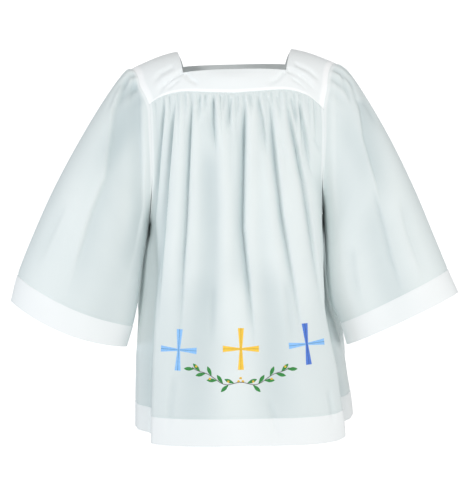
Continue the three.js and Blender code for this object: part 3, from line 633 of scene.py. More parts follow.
@dataclass
class Panel:
    """The gathered panel of one face, from the yoke seam down to the hem."""

    face: Face
    yoke: Yoke
    columns: int = 400
    thickness: float = 0.6
    band_thickness: float = 1.2
    band_top: float = 0.9228
    seam_gap: float = 0.3
    gathered_gap: float = 0.4
    lap_gap: float = 0.1
    stitch_row: float = 0.05
    gathers: int = 24
    gather_height: float = 2.1
    pucker_height: float = 0.45
    pucker_rate: float = 2.37
    pucker_sway: tuple[float, float] = (0.3, 3.1)
    pleat: Pleat = Pleat()
    # share of the side folds' depth that counts in the painted shade
    side_shade_share: float = 0.14
    top_z: float = -100.0
    hem_z: float = -841.0
    length: float = 730.0
    cut: tuple[float, float] = (0.56, 0.70)
    side_hems: dict[Side, float] = field(
        default_factory=lambda: {Side.RIGHT: -812.0, Side.LEFT: -786.0}
    )
    gather_lengths: tuple[float, ...] = (0.10, 0.15, 0.08, 0.13, 0.19, 0.09, 0.12, 0.07)
    gather_strengths: tuple[float, ...] = (0.9, 0.35, 1.0, 0.25, 0.7, 1.0, 0.3, 0.8, 0.5, 1.0, 0.2)
    body: Table = Table(
        "z left right FRONT BACK",
        (-100, 180, 188, 105, 100), (-160, 180, 188, 113, 104), (-250, 180, 187, 119, 106),
        (-365, 180, 186, 124, 108), (-400, 184.5, 188, 125, 109), (-456, 195.5, 192.5, 127, 111),
        (-505, 201.5, 198, 129, 113), (-545, 205, 203, 130, 114), (-600, 208.5, 221, 132, 116),
        (-632, 210, 231, 133, 118), (-660, 212, 239, 134, 119), (-700, 213, 245, 135, 121),
        (-770, 214, 256, 138, 124), (-845, 214, 259, 141, 127),
    )
    corners: dict[Face, Table] = field(default_factory=lambda: {
        # roundness of a section on each side of the middle: 2 is an ellipse, more is squarer
        Face.FRONT: Table(
            "z left right",
            (-260, 2.6, 2.6), (-390, 2.6, 4.8), (-530, 2.6, 4.6), (-640, 2.6, 3.3),
            (-845, 2.6, 2.9),
        ),
        Face.BACK: Table("z left right", (-260, 2.6, 2.6), (-845, 2.6, 2.6)),
    })
    hem: dict[Face, Table] = field(default_factory=lambda: {
        Face.FRONT: Table(
            "u z",
            (0, -812), (0.1, -830), (0.2, -842), (0.5, -841), (0.8, -835), (0.9, -815), (1, -786),
        ),
        Face.BACK: Table(
            "u z", (0, -786), (0.12, -812), (0.25, -828), (0.5, -834), (0.8, -831), (1, -812),
        ),
    })
    folds: dict[Face, tuple[Row, ...]] = field(default_factory=lambda: {
        # x and z where a fold begins, bends and ends, depth, half width, depth of its crease
        Face.FRONT: (
            (-146, -112, -163, -290, -184, -480, 8, 11, 3.0),
            (-124, -108, -141, -313, -166, -620, 10, 11, 3.5),
            (-106, -108, -121, -330, -138, -620, -4, 13, 0),
            (-88, -106, -101, -380, -119, -660, 9, 10, 3.5),
            (-43, -108, -43, -165, -39, -240, 6, 8, 2.5),
            (-55, -200, -48, -413, -58, -660, 5, 15, 0),
            (-30, -108, -19, -338, -23, -660, -5, 9, 0),
            (-5, -108, -9, -140, -17, -200, 4, 7, 2.0),
            (24, -108, 18, -388, 46, -680, 11, 11, 4.5),
            (38, -108, 36, -260, 38, -460, -5, 9, 0),
            (50, -108, 60, -165, 69, -250, 5, 8, 2.5),
            (73, -108, 99, -363, 152, -680, 9, 10, 2.5),
            (60, -190, 80, -380, 124, -640, -4, 12, 0),
            (92, -106, 127, -300, 168, -600, -4, 12, 0),
            (108, -110, 146, -288, 190, -600, 8, 9, 3.0),
            (134, -110, 151, -194, 166, -300, 6, 9, 2.5),
            (71, -108, 74, -135, 78, -168, 3, 5, 1.5),
            (119, -108, 128, -145, 140, -188, 4, 6, 1.5),
            (-72, -106, -74, -130, -78, -172, 3, 5, 1.5),
            (-60, -106, -62, -125, -64, -152, 2.5, 5, 1.2),
            (-20, -106, -22, -125, -26, -152, 2.5, 5, 1.2),
            (9, -106, 8, -128, 6, -162, 2.5, 5, 1.2),
            (34, -106, 36, -125, 40, -150, 2, 4, 1.0),
            (89, -106, 93, -132, 100, -174, 3, 5, 1.5),
            (-60, -460, -78, -640, -88, -960, 4, 30, 0),
            (10, -460, 16, -640, 20, -960, -4, 32, 0),
            (66, -440, 74, -640, 80, -960, 4, 32, 0),
        ),
        Face.BACK: (
            (146, -116, 157, -280, 172, -560, 8, 11, 2.5),
            (112, -110, 124, -270, 144, -680, 9, 12, 3.0),
            (74, -110, 79, -250, 90, -600, 7, 10, 2.5),
            (52, -112, 56, -260, 64, -520, -4, 12, 0),
            (22, -110, 19, -260, 34, -700, 9, 12, 3.5),
            (-14, -110, -18, -190, -24, -360, 5, 10, 2.0),
            (-52, -110, -60, -270, -64, -660, 8, 11, 3.0),
            (-78, -112, -84, -260, -96, -520, -4, 12, 0),
            (-106, -110, -115, -250, -136, -690, 8, 10, 3.0),
            (-142, -114, -151, -270, -168, -540, 7, 11, 2.5),
            (131, -108, 136, -140, 144, -184, 3, 5, 1.5),
            (94, -106, 97, -132, 102, -170, 3, 5, 1.5),
            (40, -106, 41, -128, 44, -156, 3, 5, 1.2),
            (4, -106, 3, -130, 0, -168, 2.5, 5, 1.2),
            (-33, -106, -35, -128, -38, -158, 3, 5, 1.5),
            (-90, -106, -94, -130, -100, -172, 3, 5, 1.5),
            (-124, -108, -128, -134, -134, -170, 2.5, 5, 1.2),
            (100, -330, 108, -620, 118, -980, 4, 28, 0),
            (30, -330, 36, -620, 44, -980, -4, 30, 0),
            (-36, -330, -34, -620, -30, -980, 4, 30, 0),
            (-106, -330, -112, -620, -118, -980, -4, 28, 0),
        ),
    })
    edge_folds: dict[Face, tuple[Row, ...]] = field(default_factory=lambda: {
        # side seam (-1 the wearer's right), arc from it, heights where it begins, is full,
        # starts to fade and ends, depth and half width
        Face.FRONT: (
            (-1, 56, -360, -500, -900, -950, 32, 30), (-1, 92, -360, -520, -900, -950, 12, 14),
            (1, 50, -420, -600, -900, -950, 34, 26), (1, 78, -440, -620, -900, -950, 6, 10),
            (-1, 29, -470, -600, -900, -950, -7, 11), (-1, 12, -640, -700, -900, -950, 3, 6),
            (1, 27, -560, -660, -900, -950, -6, 10), (1, 10, -640, -720, -900, -950, 3, 6),
        ),
        Face.BACK: (
            (-1, 60, -400, -640, -900, -950, 14, 26), (1, 56, -400, -620, -900, -950, 12, 24),
            (-1, 26, -368, -412, -540, -610, -8, 12), (1, 26, -348, -392, -600, -670, -10, 12),
            (1, 28, -440, -500, -640, -700, -9, 13),
            (-1, 22, -352, -372, -402, -440, -6, 10), (1, 20, -347, -360, -378, -410, -5, 10),
        ),
    })
    wrinkles: dict[Face, tuple[Crease, ...]] = field(default_factory=lambda: {
        Face.FRONT: (
            Crease(((166, -190), (178, -214), (190, -236)), 2.0, 5),
            Crease(((-176, -116), (-174, -140), (-168, -190)), 2.4, 4),
            Crease(((88, -180), (104, -230), (112, -300)), 1.6, 5),
            Crease(((214, -590), (222, -640), (232, -690)), 2.2, 6),
            Crease(((226, -650), (236, -690), (240, -730)), -1.8, 6),
            Crease(((-42, -500), (-45, -570), (-48, -640)), 2.0, 6),
            Crease(((26, -470), (30, -540), (33, -610)), 2.2, 7),
            Crease(((106, -490), (115, -560), (125, -640)), 2.2, 7),
            Crease(((70, -740), (83, -785), (94, -835)), 1.6, 6),
            Crease(((-126, -690), (-134, -760), (-138, -830)), 1.8, 7),
            Crease(((196, -720), (205, -765), (209, -805)), 2.0, 5),
        ),
        Face.BACK: (
            Crease(((60, -190), (70, -250), (74, -320)), 1.6, 5),
            Crease(((-90, -160), (-98, -220), (-100, -300)), 1.8, 5),
        ),
    })

    def side_edge(self, side: Side, share: float) -> np.ndarray:
        """Point of the panel's edge: down the armhole, then down the side seam.

        Args:
            side: the side of the wearer.
            share: share of the edge's height, from the yoke down.

        Returns:
            The point in millimetres.
        """
        armhole = ARMHOLES[side]
        tip, middle, half = armhole.heights
        top = middle + half * math.cos(armhole.yoke_end)
        z = mix(top, self.side_hems[side], share)
        if z >= armhole.underarm:
            return armhole.point(self.face, math.acos(max(-1.0, min(1.0, (z - middle) / half))))
        start = float(armhole.width.at("out", tip - armhole.underarm))
        name = "left" if side is Side.RIGHT else "right"
        width = mix(start, float(self.body.at(name, z)), float(smooth(armhole.underarm - z, 0, 60)))
        y = SHOULDERS.seam_y + self.face.value * self.seam_gap / 2
        return np.array([side.value * width, y, z])

    def eased_edge_y(self, side: Side, share: float) -> float:
        """Mean Y of the panel's edge over 80 mm of its length, which eases past the underarm."""
        shares = np.clip(share + np.arange(-4, 5) * 0.014, 0, 1)
        return float(np.mean([self.side_edge(side, float(at))[1] for at in shares]))

    def section(self, share: float) -> Arrays:
        """Plain section at a share of the length: its points in XY and their eased arc lengths.

        Args:
            share: share of the panel's length.

        Returns:
            The points in XY, and the length of the arc up to each.
        """
        left, right = (self.side_edge(side, share) for side in (Side.RIGHT, Side.LEFT))
        z = mix(self.top_z, self.hem_z, share)
        depth = float(self.body.at(self.face.name, z))
        s = np.sin((np.linspace(0, 1, 321) - 0.5) * math.pi)
        table = self.corners[self.face]
        corners = np.where(s < 0, float(table.at("left", z)), float(table.at("right", z)))
        closing = mix(1.0, corners, float(smooth(-z, 240, 400)))
        across = (s + 1) / 2
        eased = mix(*(self.eased_edge_y(side, share) for side in (Side.RIGHT, Side.LEFT)), across)
        edge_y = mix(eased, mix(left[1], right[1], across), np.abs(s) ** 10)
        bulge = self.face.value * depth - edge_y
        swell = np.maximum(1 - np.abs(s) ** corners, 0) ** (1 / closing)
        x = mix(left[0], right[0], across)
        even = np.hypot(np.diff(x), np.diff(eased + (self.face.value * depth - eased) * swell))
        lengths = np.concatenate([[0.0], np.cumsum(even)])
        return np.stack([x, edge_y + bulge * swell], axis=1), lengths

    @staticmethod
    def on_section(section: Arrays, share: np.ndarray) -> Arrays:
        """Points and running directions on a section at shares of its arc.

        Args:
            section: the points and arc lengths from section().
            share: shares of the arc.

        Returns:
            The places in XY and the unit directions along the section there.
        """
        points, lengths = section
        at = np.clip(share, 0, 1) * lengths[-1]
        place = np.stack([np.interp(at, lengths, points[:, k]) for k in (0, 1)], axis=1)
        low = np.clip(np.searchsorted(lengths, at, side="right") - 1, 0, len(lengths) - 2)
        before, after = np.maximum(low - 4, 0), np.minimum(low + 5, len(lengths) - 1)
        return place, unit(points[after] - points[before])

    def long_folds(self, x: np.ndarray, z: np.ndarray) -> np.ndarray:
        """Depth of the long folds, each with a narrow crease along its bottom.

        Args:
            x: distances of the places along X.
            z: their heights.

        Returns:
            The depth at each place, in millimetres.
        """
        depth = np.zeros(np.shape(x))
        for x0, z0, x1, z1, x2, z2, deep, width, crease in self.folds[self.face]:
            t = (z0 - z) / (z0 - z2)
            bend = (z0 - z1) / (z0 - z2)
            centre = np.where(t < bend, mix(x0, x1, t / bend), mix(x1, x2, (t - bend) / (1 - bend)))
            inside = (t > 0) & (t < 1)
            strength = smooth(t, 0, 0.16) * (1 - smooth(t, 0.45, 1)) * inside
            away = (x - centre) / (1 + self.pleat.widening * t)
            if crease:
                depth += strength * self.pleat.depth(away, deep, width)
                sharp = smooth(t, 0, 0.08) * (1 - smooth(t, 0.6, 1)) * inside
                depth += sharp * self.pleat.line(away, crease)
            else:
                depth += deep * strength * hump(away, width)
        return depth

    def side_folds(
        self, from_right: np.ndarray, from_left: np.ndarray, z: np.ndarray
    ) -> np.ndarray:
        """Depth of the folds beside the side seams, from the distances to both.

        Args:
            from_right: distance from the seam on the wearer's right, in millimetres.
            from_left: distance from the seam on the wearer's left, in millimetres.
            z: height of each point, in millimetres.

        Returns:
            The depth at each point, in millimetres.
        """
        depth = np.zeros(np.shape(z))
        for side, arc, begins, full, until, gone, deep, width in self.edge_folds[self.face]:
            distance = from_right if side < 0 else from_left
            strength = smooth(-z, -begins, -full) * (1 - smooth(-z, -until, -gone))
            depth += deep * strength * hump(distance - arc, width)
        return depth

    def gather_relief(self, u: np.ndarray, share: float) -> np.ndarray:
        """Height of the gathers below the yoke seam, with finer puckers between them.

        Args:
            u: places across the panel, 0 to 1.
            share: share of the panel's length.

        Returns:
            The height at each place, in millimetres.
        """
        pitch = u * self.gathers
        index = np.floor(pitch + 0.25)
        length, uneven = (
            np.array(sizes)[(index % len(sizes)).astype(int)]
            for sizes in (self.gather_lengths, self.gather_strengths)
        )
        rise = smooth(share, 0, 0.011)
        fade = 1 - smooth((share - 0.2 * length) / (1.1 * length), 0, 1)
        waves = self.gather_height * uneven * rise * fade * np.sin(2 * math.pi * pitch)
        sway, sway_rate = self.pucker_sway
        phase = self.pucker_rate * pitch + sway * np.sin(sway_rate * pitch)
        near_seam = smooth(share, -0.004, 0.004) * (1 - smooth(share, 0.012, 0.055))
        return waves + self.pucker_height * near_seam * np.sin(2 * math.pi * phase)

    def row(self, u: np.ndarray, share: float, tuck: float = 0.0) -> Arrays:
        """Points across the panel at a share of its length.

        Args:
            u: places across the panel, 0 to 1 seen from outside.
            share: 0 at the yoke seam and 1 at the hem; below 0 the cloth runs under the yoke.
            tuck: distance that the cloth is set in, in millimetres.

        Returns:
            The points in millimetres, and the height at each that sets the painted shade in the
            cloth's colour.
        """
        across = u if self.face is Face.FRONT else 1 - u
        held = max(share, 0.0)
        top_x, top_angle = self.yoke.lower_edge(across)
        tucked = (self.gathered_gap + min(share, 0.0) * self.length) / SHOULDERS.top[self.face]
        seam = SHOULDERS.point(self.face, top_x, top_angle + tucked)
        section = self.section(held)
        plain, along = self.on_section(section, across)
        plain_top, _ = self.on_section(self.section(0.0), across)
        z = mix(seam[:, 2], self.hem[self.face].at("z", u), held)
        fade = (1 - held / 0.25) ** 2 if held < 0.25 else 0.0
        x = plain[:, 0] + (seam[:, 0] - plain_top[:, 0]) * fade
        y = plain[:, 1] + (seam[:, 1] - plain_top[:, 1]) * fade
        total = section[1][-1]
        out = np.stack([along[:, 1], -along[:, 0]], axis=1) * -self.face.value
        edges = smooth(np.minimum(u, 1 - u), 0, 0.035)
        side = self.side_folds(across * total, (1 - across) * total, z)
        fine = self.gather_relief(u, share) - self.long_folds(x, z)
        fine = fine - creases(self.wrinkles[self.face], x, z)
        height = edges * (fine - side) - tuck
        # painted shade: the fold height that darkens the cloth's colour in the valleys, with the
        # deep side folds counted at a small share
        tone = edges * (fine - self.side_shade_share * side)
        return as_points(x + out[:, 0] * height, y + out[:, 1] * height, z), tone

    def grid(self, name: str, shares: np.ndarray) -> Sheet:
        """A sheet of the panel between the first and the last of the shares.

        Args:
            name: the sheet's name.
            shares: shares of the panel's length, one for each row.

        Returns:
            The sheet, ready to build.
        """
        u = np.linspace(0, 1, self.columns + 1)
        inset = (self.thickness + self.band_thickness) / 2 + self.lap_gap
        rows = []
        for share in shares:
            under_yoke = 1 - float(smooth(share, -0.0005, 0.005))
            under_band = float(smooth(share, self.band_top - 0.008, self.band_top - 0.0006))
            tuck = inset * max(under_yoke, under_band) if shares[0] < 0 else 0.0
            rows.append(self.row(u, float(share), tuck))
        across = np.broadcast_to(u, (len(shares), len(u)))
        seam = 0.5 * (1 - smooth(np.minimum(across, 1 - across), 0.010, 0.016))
        points, relief = (np.stack(part) for part in zip(*rows))
        return Sheet(name, u, shares, points, self.cut, seam=seam, relief=relief)

    def panel_sheet(self) -> Sheet:
        """The gathered cloth, from under the yoke to behind the hem band.

        Returns:
            The sheet, ready to build.
        """
        shares = np.concatenate([
            [-0.008, -0.005, -0.0025, -0.0008],
            np.linspace(0, 0.03, 13)[:-1],
            np.linspace(0.03, 0.2, 35)[:-1],
            np.linspace(0.2, self.band_top - 0.01, 60),
            self.band_top + np.array([-0.0075, -0.005, -0.0028, -0.0006, 0.003, 0.007]),
        ])
        return self.grid(f"body_{self.face.name.lower()}_cloth", shares)

    def band_sheet(self) -> Sheet:
        """The hem band, which carries on the panel."""
        shares = np.linspace(self.band_top + self.seam_gap / self.length, 1, 19)
        return self.grid(f"hem_band_{self.face.name.lower()}_cloth", shares)


# ---------------------------------------------------------------- sleeves


@dataclass
class Sleeve:
    """A bell sleeve, from the armhole to the cuff, with its cuff band."""

    side: Side
    columns: int = 200
    thickness: float = 0.6
    band_thickness: float = 1.2
    band_top: float = 0.9
    seam_gap: float = 0.3
    seam_spread: float = 1.7
    lap_gap: float = 0.1
    stitch_row: float = 0.06
    armhole_fade: float = 0.3
    back_shift: float = 9.0
    length: float = 480.0
    cut: tuple[float, float] = (0.50, 0.46)
    sag: dict[Side, float] = field(default_factory=lambda: {Side.RIGHT: 20.0, Side.LEFT: 2.0})
    shape: dict[Side, Table] = field(default_factory=lambda: {
        Side.RIGHT: Table(
            "t out_x out_z in_x in_z y half",
            (0, -222, -42, -181, -370, 3, 80), (0.06, -237, -51, -184, -384, 0, 80),
            (0.15, -267, -90, -188, -408, -8, 79), (0.35, -324, -185, -196, -448, -22, 77),
            (0.6, -386, -302, -202, -503, -30, 74), (0.8, -435, -412, -208, -553, -31, 70),
            (0.9, -464, -487, -217, -596, -31, 67), (1, -478, -542, -230, -640, -31, 65),
        ),
        Side.LEFT: Table(
            "t out_x out_z in_x in_z y half",
            (0, 218.6, -30, 190, -348, 3, 80), (0.06, 243, -46, 192, -362, 0, 80),
            (0.15, 271, -83, 194, -387, -8, 79), (0.35, 329, -184, 196.5, -432, -22, 77),
            (0.6, 385, -300, 199.5, -494, -30, 74), (0.8, 430.5, -409, 208, -546, -31, 70),
            (0.9, 458, -475, 228, -590, -31, 67), (1, 480, -524, 242, -636, -31, 65),
        ),
    })
    folds: dict[Side, tuple[Row, ...]] = field(default_factory=lambda: {
        # angle at the armhole and at the cuff, shares where it begins and ends, depth and
        # half width in degrees; angle 0 is the outer edge and 90 the front
        Side.RIGHT: (
            (62, 70, 0.02, 0.4, 3.5, 13), (84, 96, 0.05, 0.75, -2, 16),
            (50, 58, 0.3, 1.2, -3, 20), (128, 122, 0.25, 1.2, 2.5, 18),
            (262, 268, 0.05, 0.8, 4, 16), (300, 305, 0.3, 1.2, 3, 18),
            (222, 230, 0.3, 1.2, -3, 18),
        ),
        Side.LEFT: (
            (70, 82, 0.04, 0.45, 2.5, 13), (74, 92, 0.35, 1.2, 3, 15),
            (48, 56, 0.3, 1.2, -2.5, 20), (128, 128, 0.25, 1.2, -3, 18),
            (266, 262, 0.05, 0.8, 4, 16), (305, 300, 0.3, 1.2, -3, 18),
            (225, 232, 0.3, 1.2, 3, 18),
        ),
    })
    lines: dict[Side, tuple[Crease, ...]] = field(default_factory=lambda: {
        Side.RIGHT: (
            Crease(((-231, -60), (-252, -132), (-268, -282), (-296, -350), (-324, -444),
                    (-356, -560)), 6.0, 14, lean=0.3, fades=False),
            Crease(((-204, -60), (-201, -192), (-197, -287), (-196, -349), (-214, -440),
                    (-240, -540)), 4.0, 8, lean=2.2, fades=False),
            Crease(((-190, -90), (-188, -200), (-188, -329), (-202, -430)), -2.5, 6),
            Crease(((-226, -56), (-238, -90), (-247, -128)), 2.4, 3.5),
            Crease(((-214, -52), (-219, -90), (-224, -124)), 2.4, 3, fades=False),
            Crease(((-240, -66), (-258, -104), (-274, -150)), 1.8, 3.5),
            Crease(((-352, -330), (-384, -400), (-420, -480)), 2.0, 9, 1.6),
        ),
        Side.LEFT: (
            Crease(((209, -60), (207, -200), (208, -297), (216, -430)), -2.5, 7, fades=False),
            Crease(((266, -108), (276, -193), (303, -295), (312, -360)),
                   5.5, 10, lean=0.35, fades=False),
            Crease(((290, -290), (298, -322), (314, -380), (329, -444), (350, -511), (362, -545)),
                   3.2, 4, 1.8),
            Crease(((349, -320), (366, -400), (392, -470), (404, -520)), 2.6, 8, 0.6),
            Crease(((229, -58), (240, -92), (250, -130)), 2.6, 3.5, fades=False),
            Crease(((248, -66), (258, -100), (268, -142)), 2.8, 3.5, lean=1.3, fades=False),
            Crease(((268, -84), (290, -126), (306, -176)), 2.0, 5, 1.3),
            Crease(((246, -420), (252, -480), (266, -560)), 2.6, 9, 1.4),
        ),
    })
    head_gathers: int = 9
    head_reach: float = 70.0
    head_height: float = 2.6
    head_length: float = 0.1

    def relief(self, degrees: np.ndarray, t: float) -> np.ndarray:
        """Height of the sleeve's folds and of the gathers at its head.

        Args:
            degrees: places round the sleeve: 0 is the outer edge and 90 the front.
            t: share of the sleeve's length.

        Returns:
            The height at each place, in millimetres.
        """
        height = np.zeros(np.shape(degrees))
        for top, cuff, begins, ends, deep, width in self.folds[self.side]:
            part = (t - begins) / (ends - begins)
            if 0 < part < 1:
                strength = float(smooth(part, 0, 0.3) * (1 - smooth(part, 0.6, 1)))
                height -= deep * strength * hump(degrees - mix(top, cuff, t), width)
        from_top = np.minimum(degrees, 360 - degrees)
        wave = np.cos(from_top / self.head_reach * self.head_gathers * math.pi)
        fall = smooth(t, 0.3 * self.head_length, 1.5 * self.head_length)
        rise = float(smooth(t, 0, 0.025) * (1 - fall))
        near = 1 - smooth(from_top, 0.5 * self.head_reach, self.head_reach)
        return height + self.head_height * rise * wave * near

    def row(self, u: np.ndarray, t: float, tuck: float = 0.0) -> Arrays:
        """Points once round the sleeve from the outer edge over the front, and the folds' height.

        Args:
            u: places round the sleeve, 0 to 1.
            t: share of the sleeve's length, 0 at the armhole.
            tuck: distance that the cloth is set in, in millimetres.

        Returns:
            The points in millimetres, and the height of the folds at each.
        """
        sign = self.side.value
        angle = (u % 1.0) * 2 * math.pi
        table = self.shape[self.side]

        def ring(at: float) -> np.ndarray:
            """The plain ring of the sleeve at a share of its length.

            Args:
                at: share of the sleeve's length.

            Returns:
                Its points in millimetres.
            """
            value = {name: float(table.at(name, at)) for name in table.names[1:]}
            outer = np.array([value["out_x"], value["y"], value["out_z"]])
            inner = np.array([value["in_x"], value["y"], value["in_z"]])
            points = outer + (inner - outer) * ((1 - np.cos(angle)) / 2)[:, None]
            points[:, 1] -= value["half"] * np.sin(angle)
            points[:, 2] -= self.sag[self.side] * at * at * np.sin(angle) ** 2
            return points

        points = ring(t)
        if t < self.armhole_fade:
            front = angle <= math.pi
            from_tip = np.where(front, angle, 2 * math.pi - angle)
            armhole = ARMHOLES[self.side]
            seam = np.where(front[:, None], *(armhole.point(face, from_tip) for face in Face))
            across = np.abs(armhole.normal(Face.FRONT, from_tip)[:, 0])
            seam[:, 0] += sign * (self.seam_gap + self.seam_spread * across)
            points = points + (seam - ring(0.0)) * (1 - t / self.armhole_fade) ** 2
        run_x, run_z = (float(table.at(f"in_{k}", t) - table.at(f"out_{k}", t)) for k in "xz")
        axis = np.array([sign * run_z, 0, -sign * run_x])
        axis = axis / np.linalg.norm(axis)
        out = -np.cos(angle)[:, None] * np.array([-axis[2] * sign, 0, axis[0] * sign])
        out[:, 1] = -np.sin(angle)
        flatness = smooth(np.abs(np.sin(angle)), 0.1, 0.45)
        shift = np.where(angle <= math.pi, 0.0, -self.back_shift * sign)
        lines = creases(self.lines[self.side], points[:, 0] + shift, points[:, 2])
        relief = self.relief(np.degrees(angle), t) - lines * flatness * float(smooth(t, 0.0, 0.04))
        return points + unit(out) * (relief - tuck)[:, None], relief

    def grid(self, kind: str, shares: np.ndarray, tucks: bool) -> Sheet:
        """A sheet of the sleeve between the first and the last of the shares.

        Args:
            kind: start of the sheet's name.
            shares: shares of the sleeve's length.
            tucks: whether the lower edge is set in behind the band.

        Returns:
            The sheet.
        """
        name = f"{kind}_{self.side.name.lower()}_cloth"
        around = np.linspace(0, 1, self.columns + 1)
        u = around if self.side is Side.RIGHT else 1 - around
        inset = (self.thickness + self.band_thickness) / 2 + self.lap_gap
        rows = []
        for share in shares:
            under = float(smooth(share, self.band_top - 0.012, self.band_top - 0.001))
            rows.append(self.row(u, float(share), inset * under if tucks else 0.0))
        points, relief = (np.stack(part) for part in zip(*rows))
        points[:, -1] = points[:, 0]
        down = np.broadcast_to(shares[:, None], points.shape[:2])
        seam = 0.5 * (1 - smooth(down, 0.010, 0.018))
        return Sheet(name, around, shares, points, self.cut, True, seam, relief)

    def sleeve_sheet(self) -> Sheet:
        """The sleeve's cloth, from the armhole to behind the cuff band.

        Returns:
            The sheet, ready to build.
        """
        shares = np.concatenate([
            np.linspace(0, 0.05, 11)[:-1],
            np.linspace(0.05, 0.25, 31)[:-1],
            np.linspace(0.25, self.band_top - 0.013, 66),
            self.band_top + np.array([-0.01, -0.007, -0.004, -0.001, 0.004, 0.01]),
        ])
        return self.grid("sleeve", shares, tucks=True)

    def band_sheet(self) -> Sheet:
        """The cuff band, which carries on the sleeve."""
        shares = np.linspace(self.band_top + self.seam_gap / self.length, 1, 15)
        return self.grid("cuff_band", shares, tucks=False)


# ---------------------------------------------------------------- node groups


def group(name: str, inputs: dict[str, str], outputs: dict[str, str]) -> bpy.types.NodeTree:
    """A new shader node group with its sockets.

    Args:
        name: the group's name.
        inputs: socket type by name.
        outputs: socket type by name.

    Returns:
        The group, with its input and output nodes made.
    """
    tree = bpy.data.node_groups.new(name, "ShaderNodeTree")
    for direction, sockets in (("INPUT", inputs), ("OUTPUT", outputs)):
        for socket, kind in sockets.items():
            tree.interface.new_socket(socket, in_out=direction, socket_type=f"NodeSocket{kind}")
    tree.nodes.new("NodeGroupInput").name = "in"
    tree.nodes.new("NodeGroupOutput").name = "out"
    return tree


def maths(
    tree: bpy.types.NodeTree, operation: str, a: Socket | float, b: Socket | float | None = None
) -> Socket:
    """A maths node on two numbers or sockets.

    Args:
        tree: the node tree.
        operation: the node's operation.
        a: a number or an output socket.
        b: a second one, where the operation takes two.

    Returns:
        The node's output socket.
    """
    node = tree.nodes.new("ShaderNodeMath")
    node.operation = operation
    for slot, value in zip(node.inputs, (a, b)):
        if isinstance(value, bpy.types.NodeSocket):
            tree.links.new(value, slot)
        elif value is not None:
            slot.default_value = value
    return node.outputs[0]


def weigh(tree: bpy.types.NodeTree, *parts: tuple[Socket, float]) -> Socket:
    """The sum of two sockets, each times its share."""
    return maths(tree, "ADD", *(maths(tree, "MULTIPLY", *part) for part in parts))


def split(tree: bpy.types.NodeTree, vector: Socket) -> tuple[Socket, Socket]:
    """The X and the Y of a vector socket."""
    node = tree.nodes.new("ShaderNodeSeparateXYZ")
    tree.links.new(vector, node.inputs[0])
    return node.outputs["X"], node.outputs["Y"]


def noise(tree: bpy.types.NodeTree, vector: Socket, scale: float, detail: float) -> Socket:
    """The value socket of a noise texture on a vector socket.

    Args:
        tree: the node tree.
        vector: socket of the place.
        scale: how often it changes in a metre.
        detail: octaves of finer noise.

    Returns:
        The socket of its value.
    """
    node = tree.nodes.new("ShaderNodeTexNoise")
    node.inputs["Scale"].default_value = scale
    node.inputs["Detail"].default_value = detail
    tree.links.new(vector, node.inputs["Vector"])
    return node.outputs["Fac"]


def blend(
    tree: bpy.types.NodeTree, factor: Socket, a: Socket | Colour, b: Socket | Colour
) -> Socket:
    """A colour mix of two colours or colour sockets by a factor socket.

    Args:
        tree: the node tree.
        factor: socket of the share of the second colour.
        a: the first colour or its socket.
        b: the second colour or its socket.

    Returns:
        The socket of the colour.
    """
    node = tree.nodes.new("ShaderNodeMix")
    node.data_type = "RGBA"
    tree.links.new(factor, node.inputs["Factor"])
    for slot, value in ((node.inputs[6], a), (node.inputs[7], b)):
        if isinstance(value, bpy.types.NodeSocket):
            tree.links.new(value, slot)
        else:
            slot.default_value = (*value, 1.0)
    return node.outputs[2]


def plain_weave() -> bpy.types.NodeTree:
    """Plain weave on a chart in metres: the height of its threads and their uneven shade.

    Returns:
        The node group.
    """
    tree = group(
        "plain_weave", {"Chart": "Vector", "Threads": "Float"},
        {"Height": "Float", "Shade": "Float"},
    )
    start, end = tree.nodes["in"], tree.nodes["out"]
    chart = start.outputs["Chart"]
    turn = maths(tree, "MULTIPLY", start.outputs["Threads"], math.pi)
    warp, weft = (
        maths(tree, "SINE", maths(tree, "MULTIPLY", place, turn)) for place in split(tree, chart)
    )
    crossing = maths(tree, "MULTIPLY", warp, weft)
    threads = maths(tree, "ADD", maths(tree, "ABSOLUTE", warp), maths(tree, "ABSOLUTE", weft))
    slub, cloudy = noise(tree, chart, 900.0, 2.0), noise(tree, chart, 9.0, 4.0)
    height = weigh(tree, (crossing, 0.3), (threads, 0.35))
    height = maths(tree, "ADD", height, maths(tree, "MULTIPLY", slub, 0.4))
    tree.links.new(height, end.inputs["Height"])
    tree.links.new(weigh(tree, (cloudy, 0.8), (slub, 0.2)), end.inputs["Shade"])
    return tree


def satin_stitch() -> bpy.types.NodeTree:
    """Slanted satin threads on a chart in metres: their height and a tone for each.

    Returns:
        The node group.
    """
    tree = group(
        "satin_stitch", {"Chart": "Vector", "Slant": "Float", "Threads": "Float"},
        {"Height": "Float", "Tone": "Float"},
    )
    start, end = tree.nodes["in"], tree.nodes["out"]
    chart = start.outputs["Chart"]
    along, across = split(tree, chart)
    slanted = maths(tree, "MULTIPLY", maths(tree, "ABSOLUTE", across), start.outputs["Slant"])
    run = maths(tree, "MULTIPLY", maths(tree, "ADD", along, slanted), start.outputs["Threads"])
    wave = maths(tree, "ABSOLUTE", maths(tree, "SINE", maths(tree, "MULTIPLY", run, math.pi)))
    tree.links.new(wave, end.inputs["Height"])
    thread = tree.nodes.new("ShaderNodeTexWhiteNoise")
    thread.noise_dimensions = "1D"
    tree.links.new(maths(tree, "FLOOR", run), thread.inputs["W"])
    soft = noise(tree, chart, 160.0, 2.0)
    tree.links.new(weigh(tree, (thread.outputs["Value"], 0.4), (soft, 0.6)), end.inputs["Tone"])
    return tree


# ---------------------------------------------------------------- finishes


def srgb(red: int, green: int, blue: int) -> Colour:
    """Linear colour from display values 0 to 255.

    Args:
        red: display value.
        green: display value.
        blue: display value.

    Returns:
        The linear colour, 0 to 1.
    """
    return tuple(
        v / 12.92 if v <= 0.04045 else ((v + 0.055) / 1.055) ** 2.4
        for v in (red / 255, green / 255, blue / 255)
    )


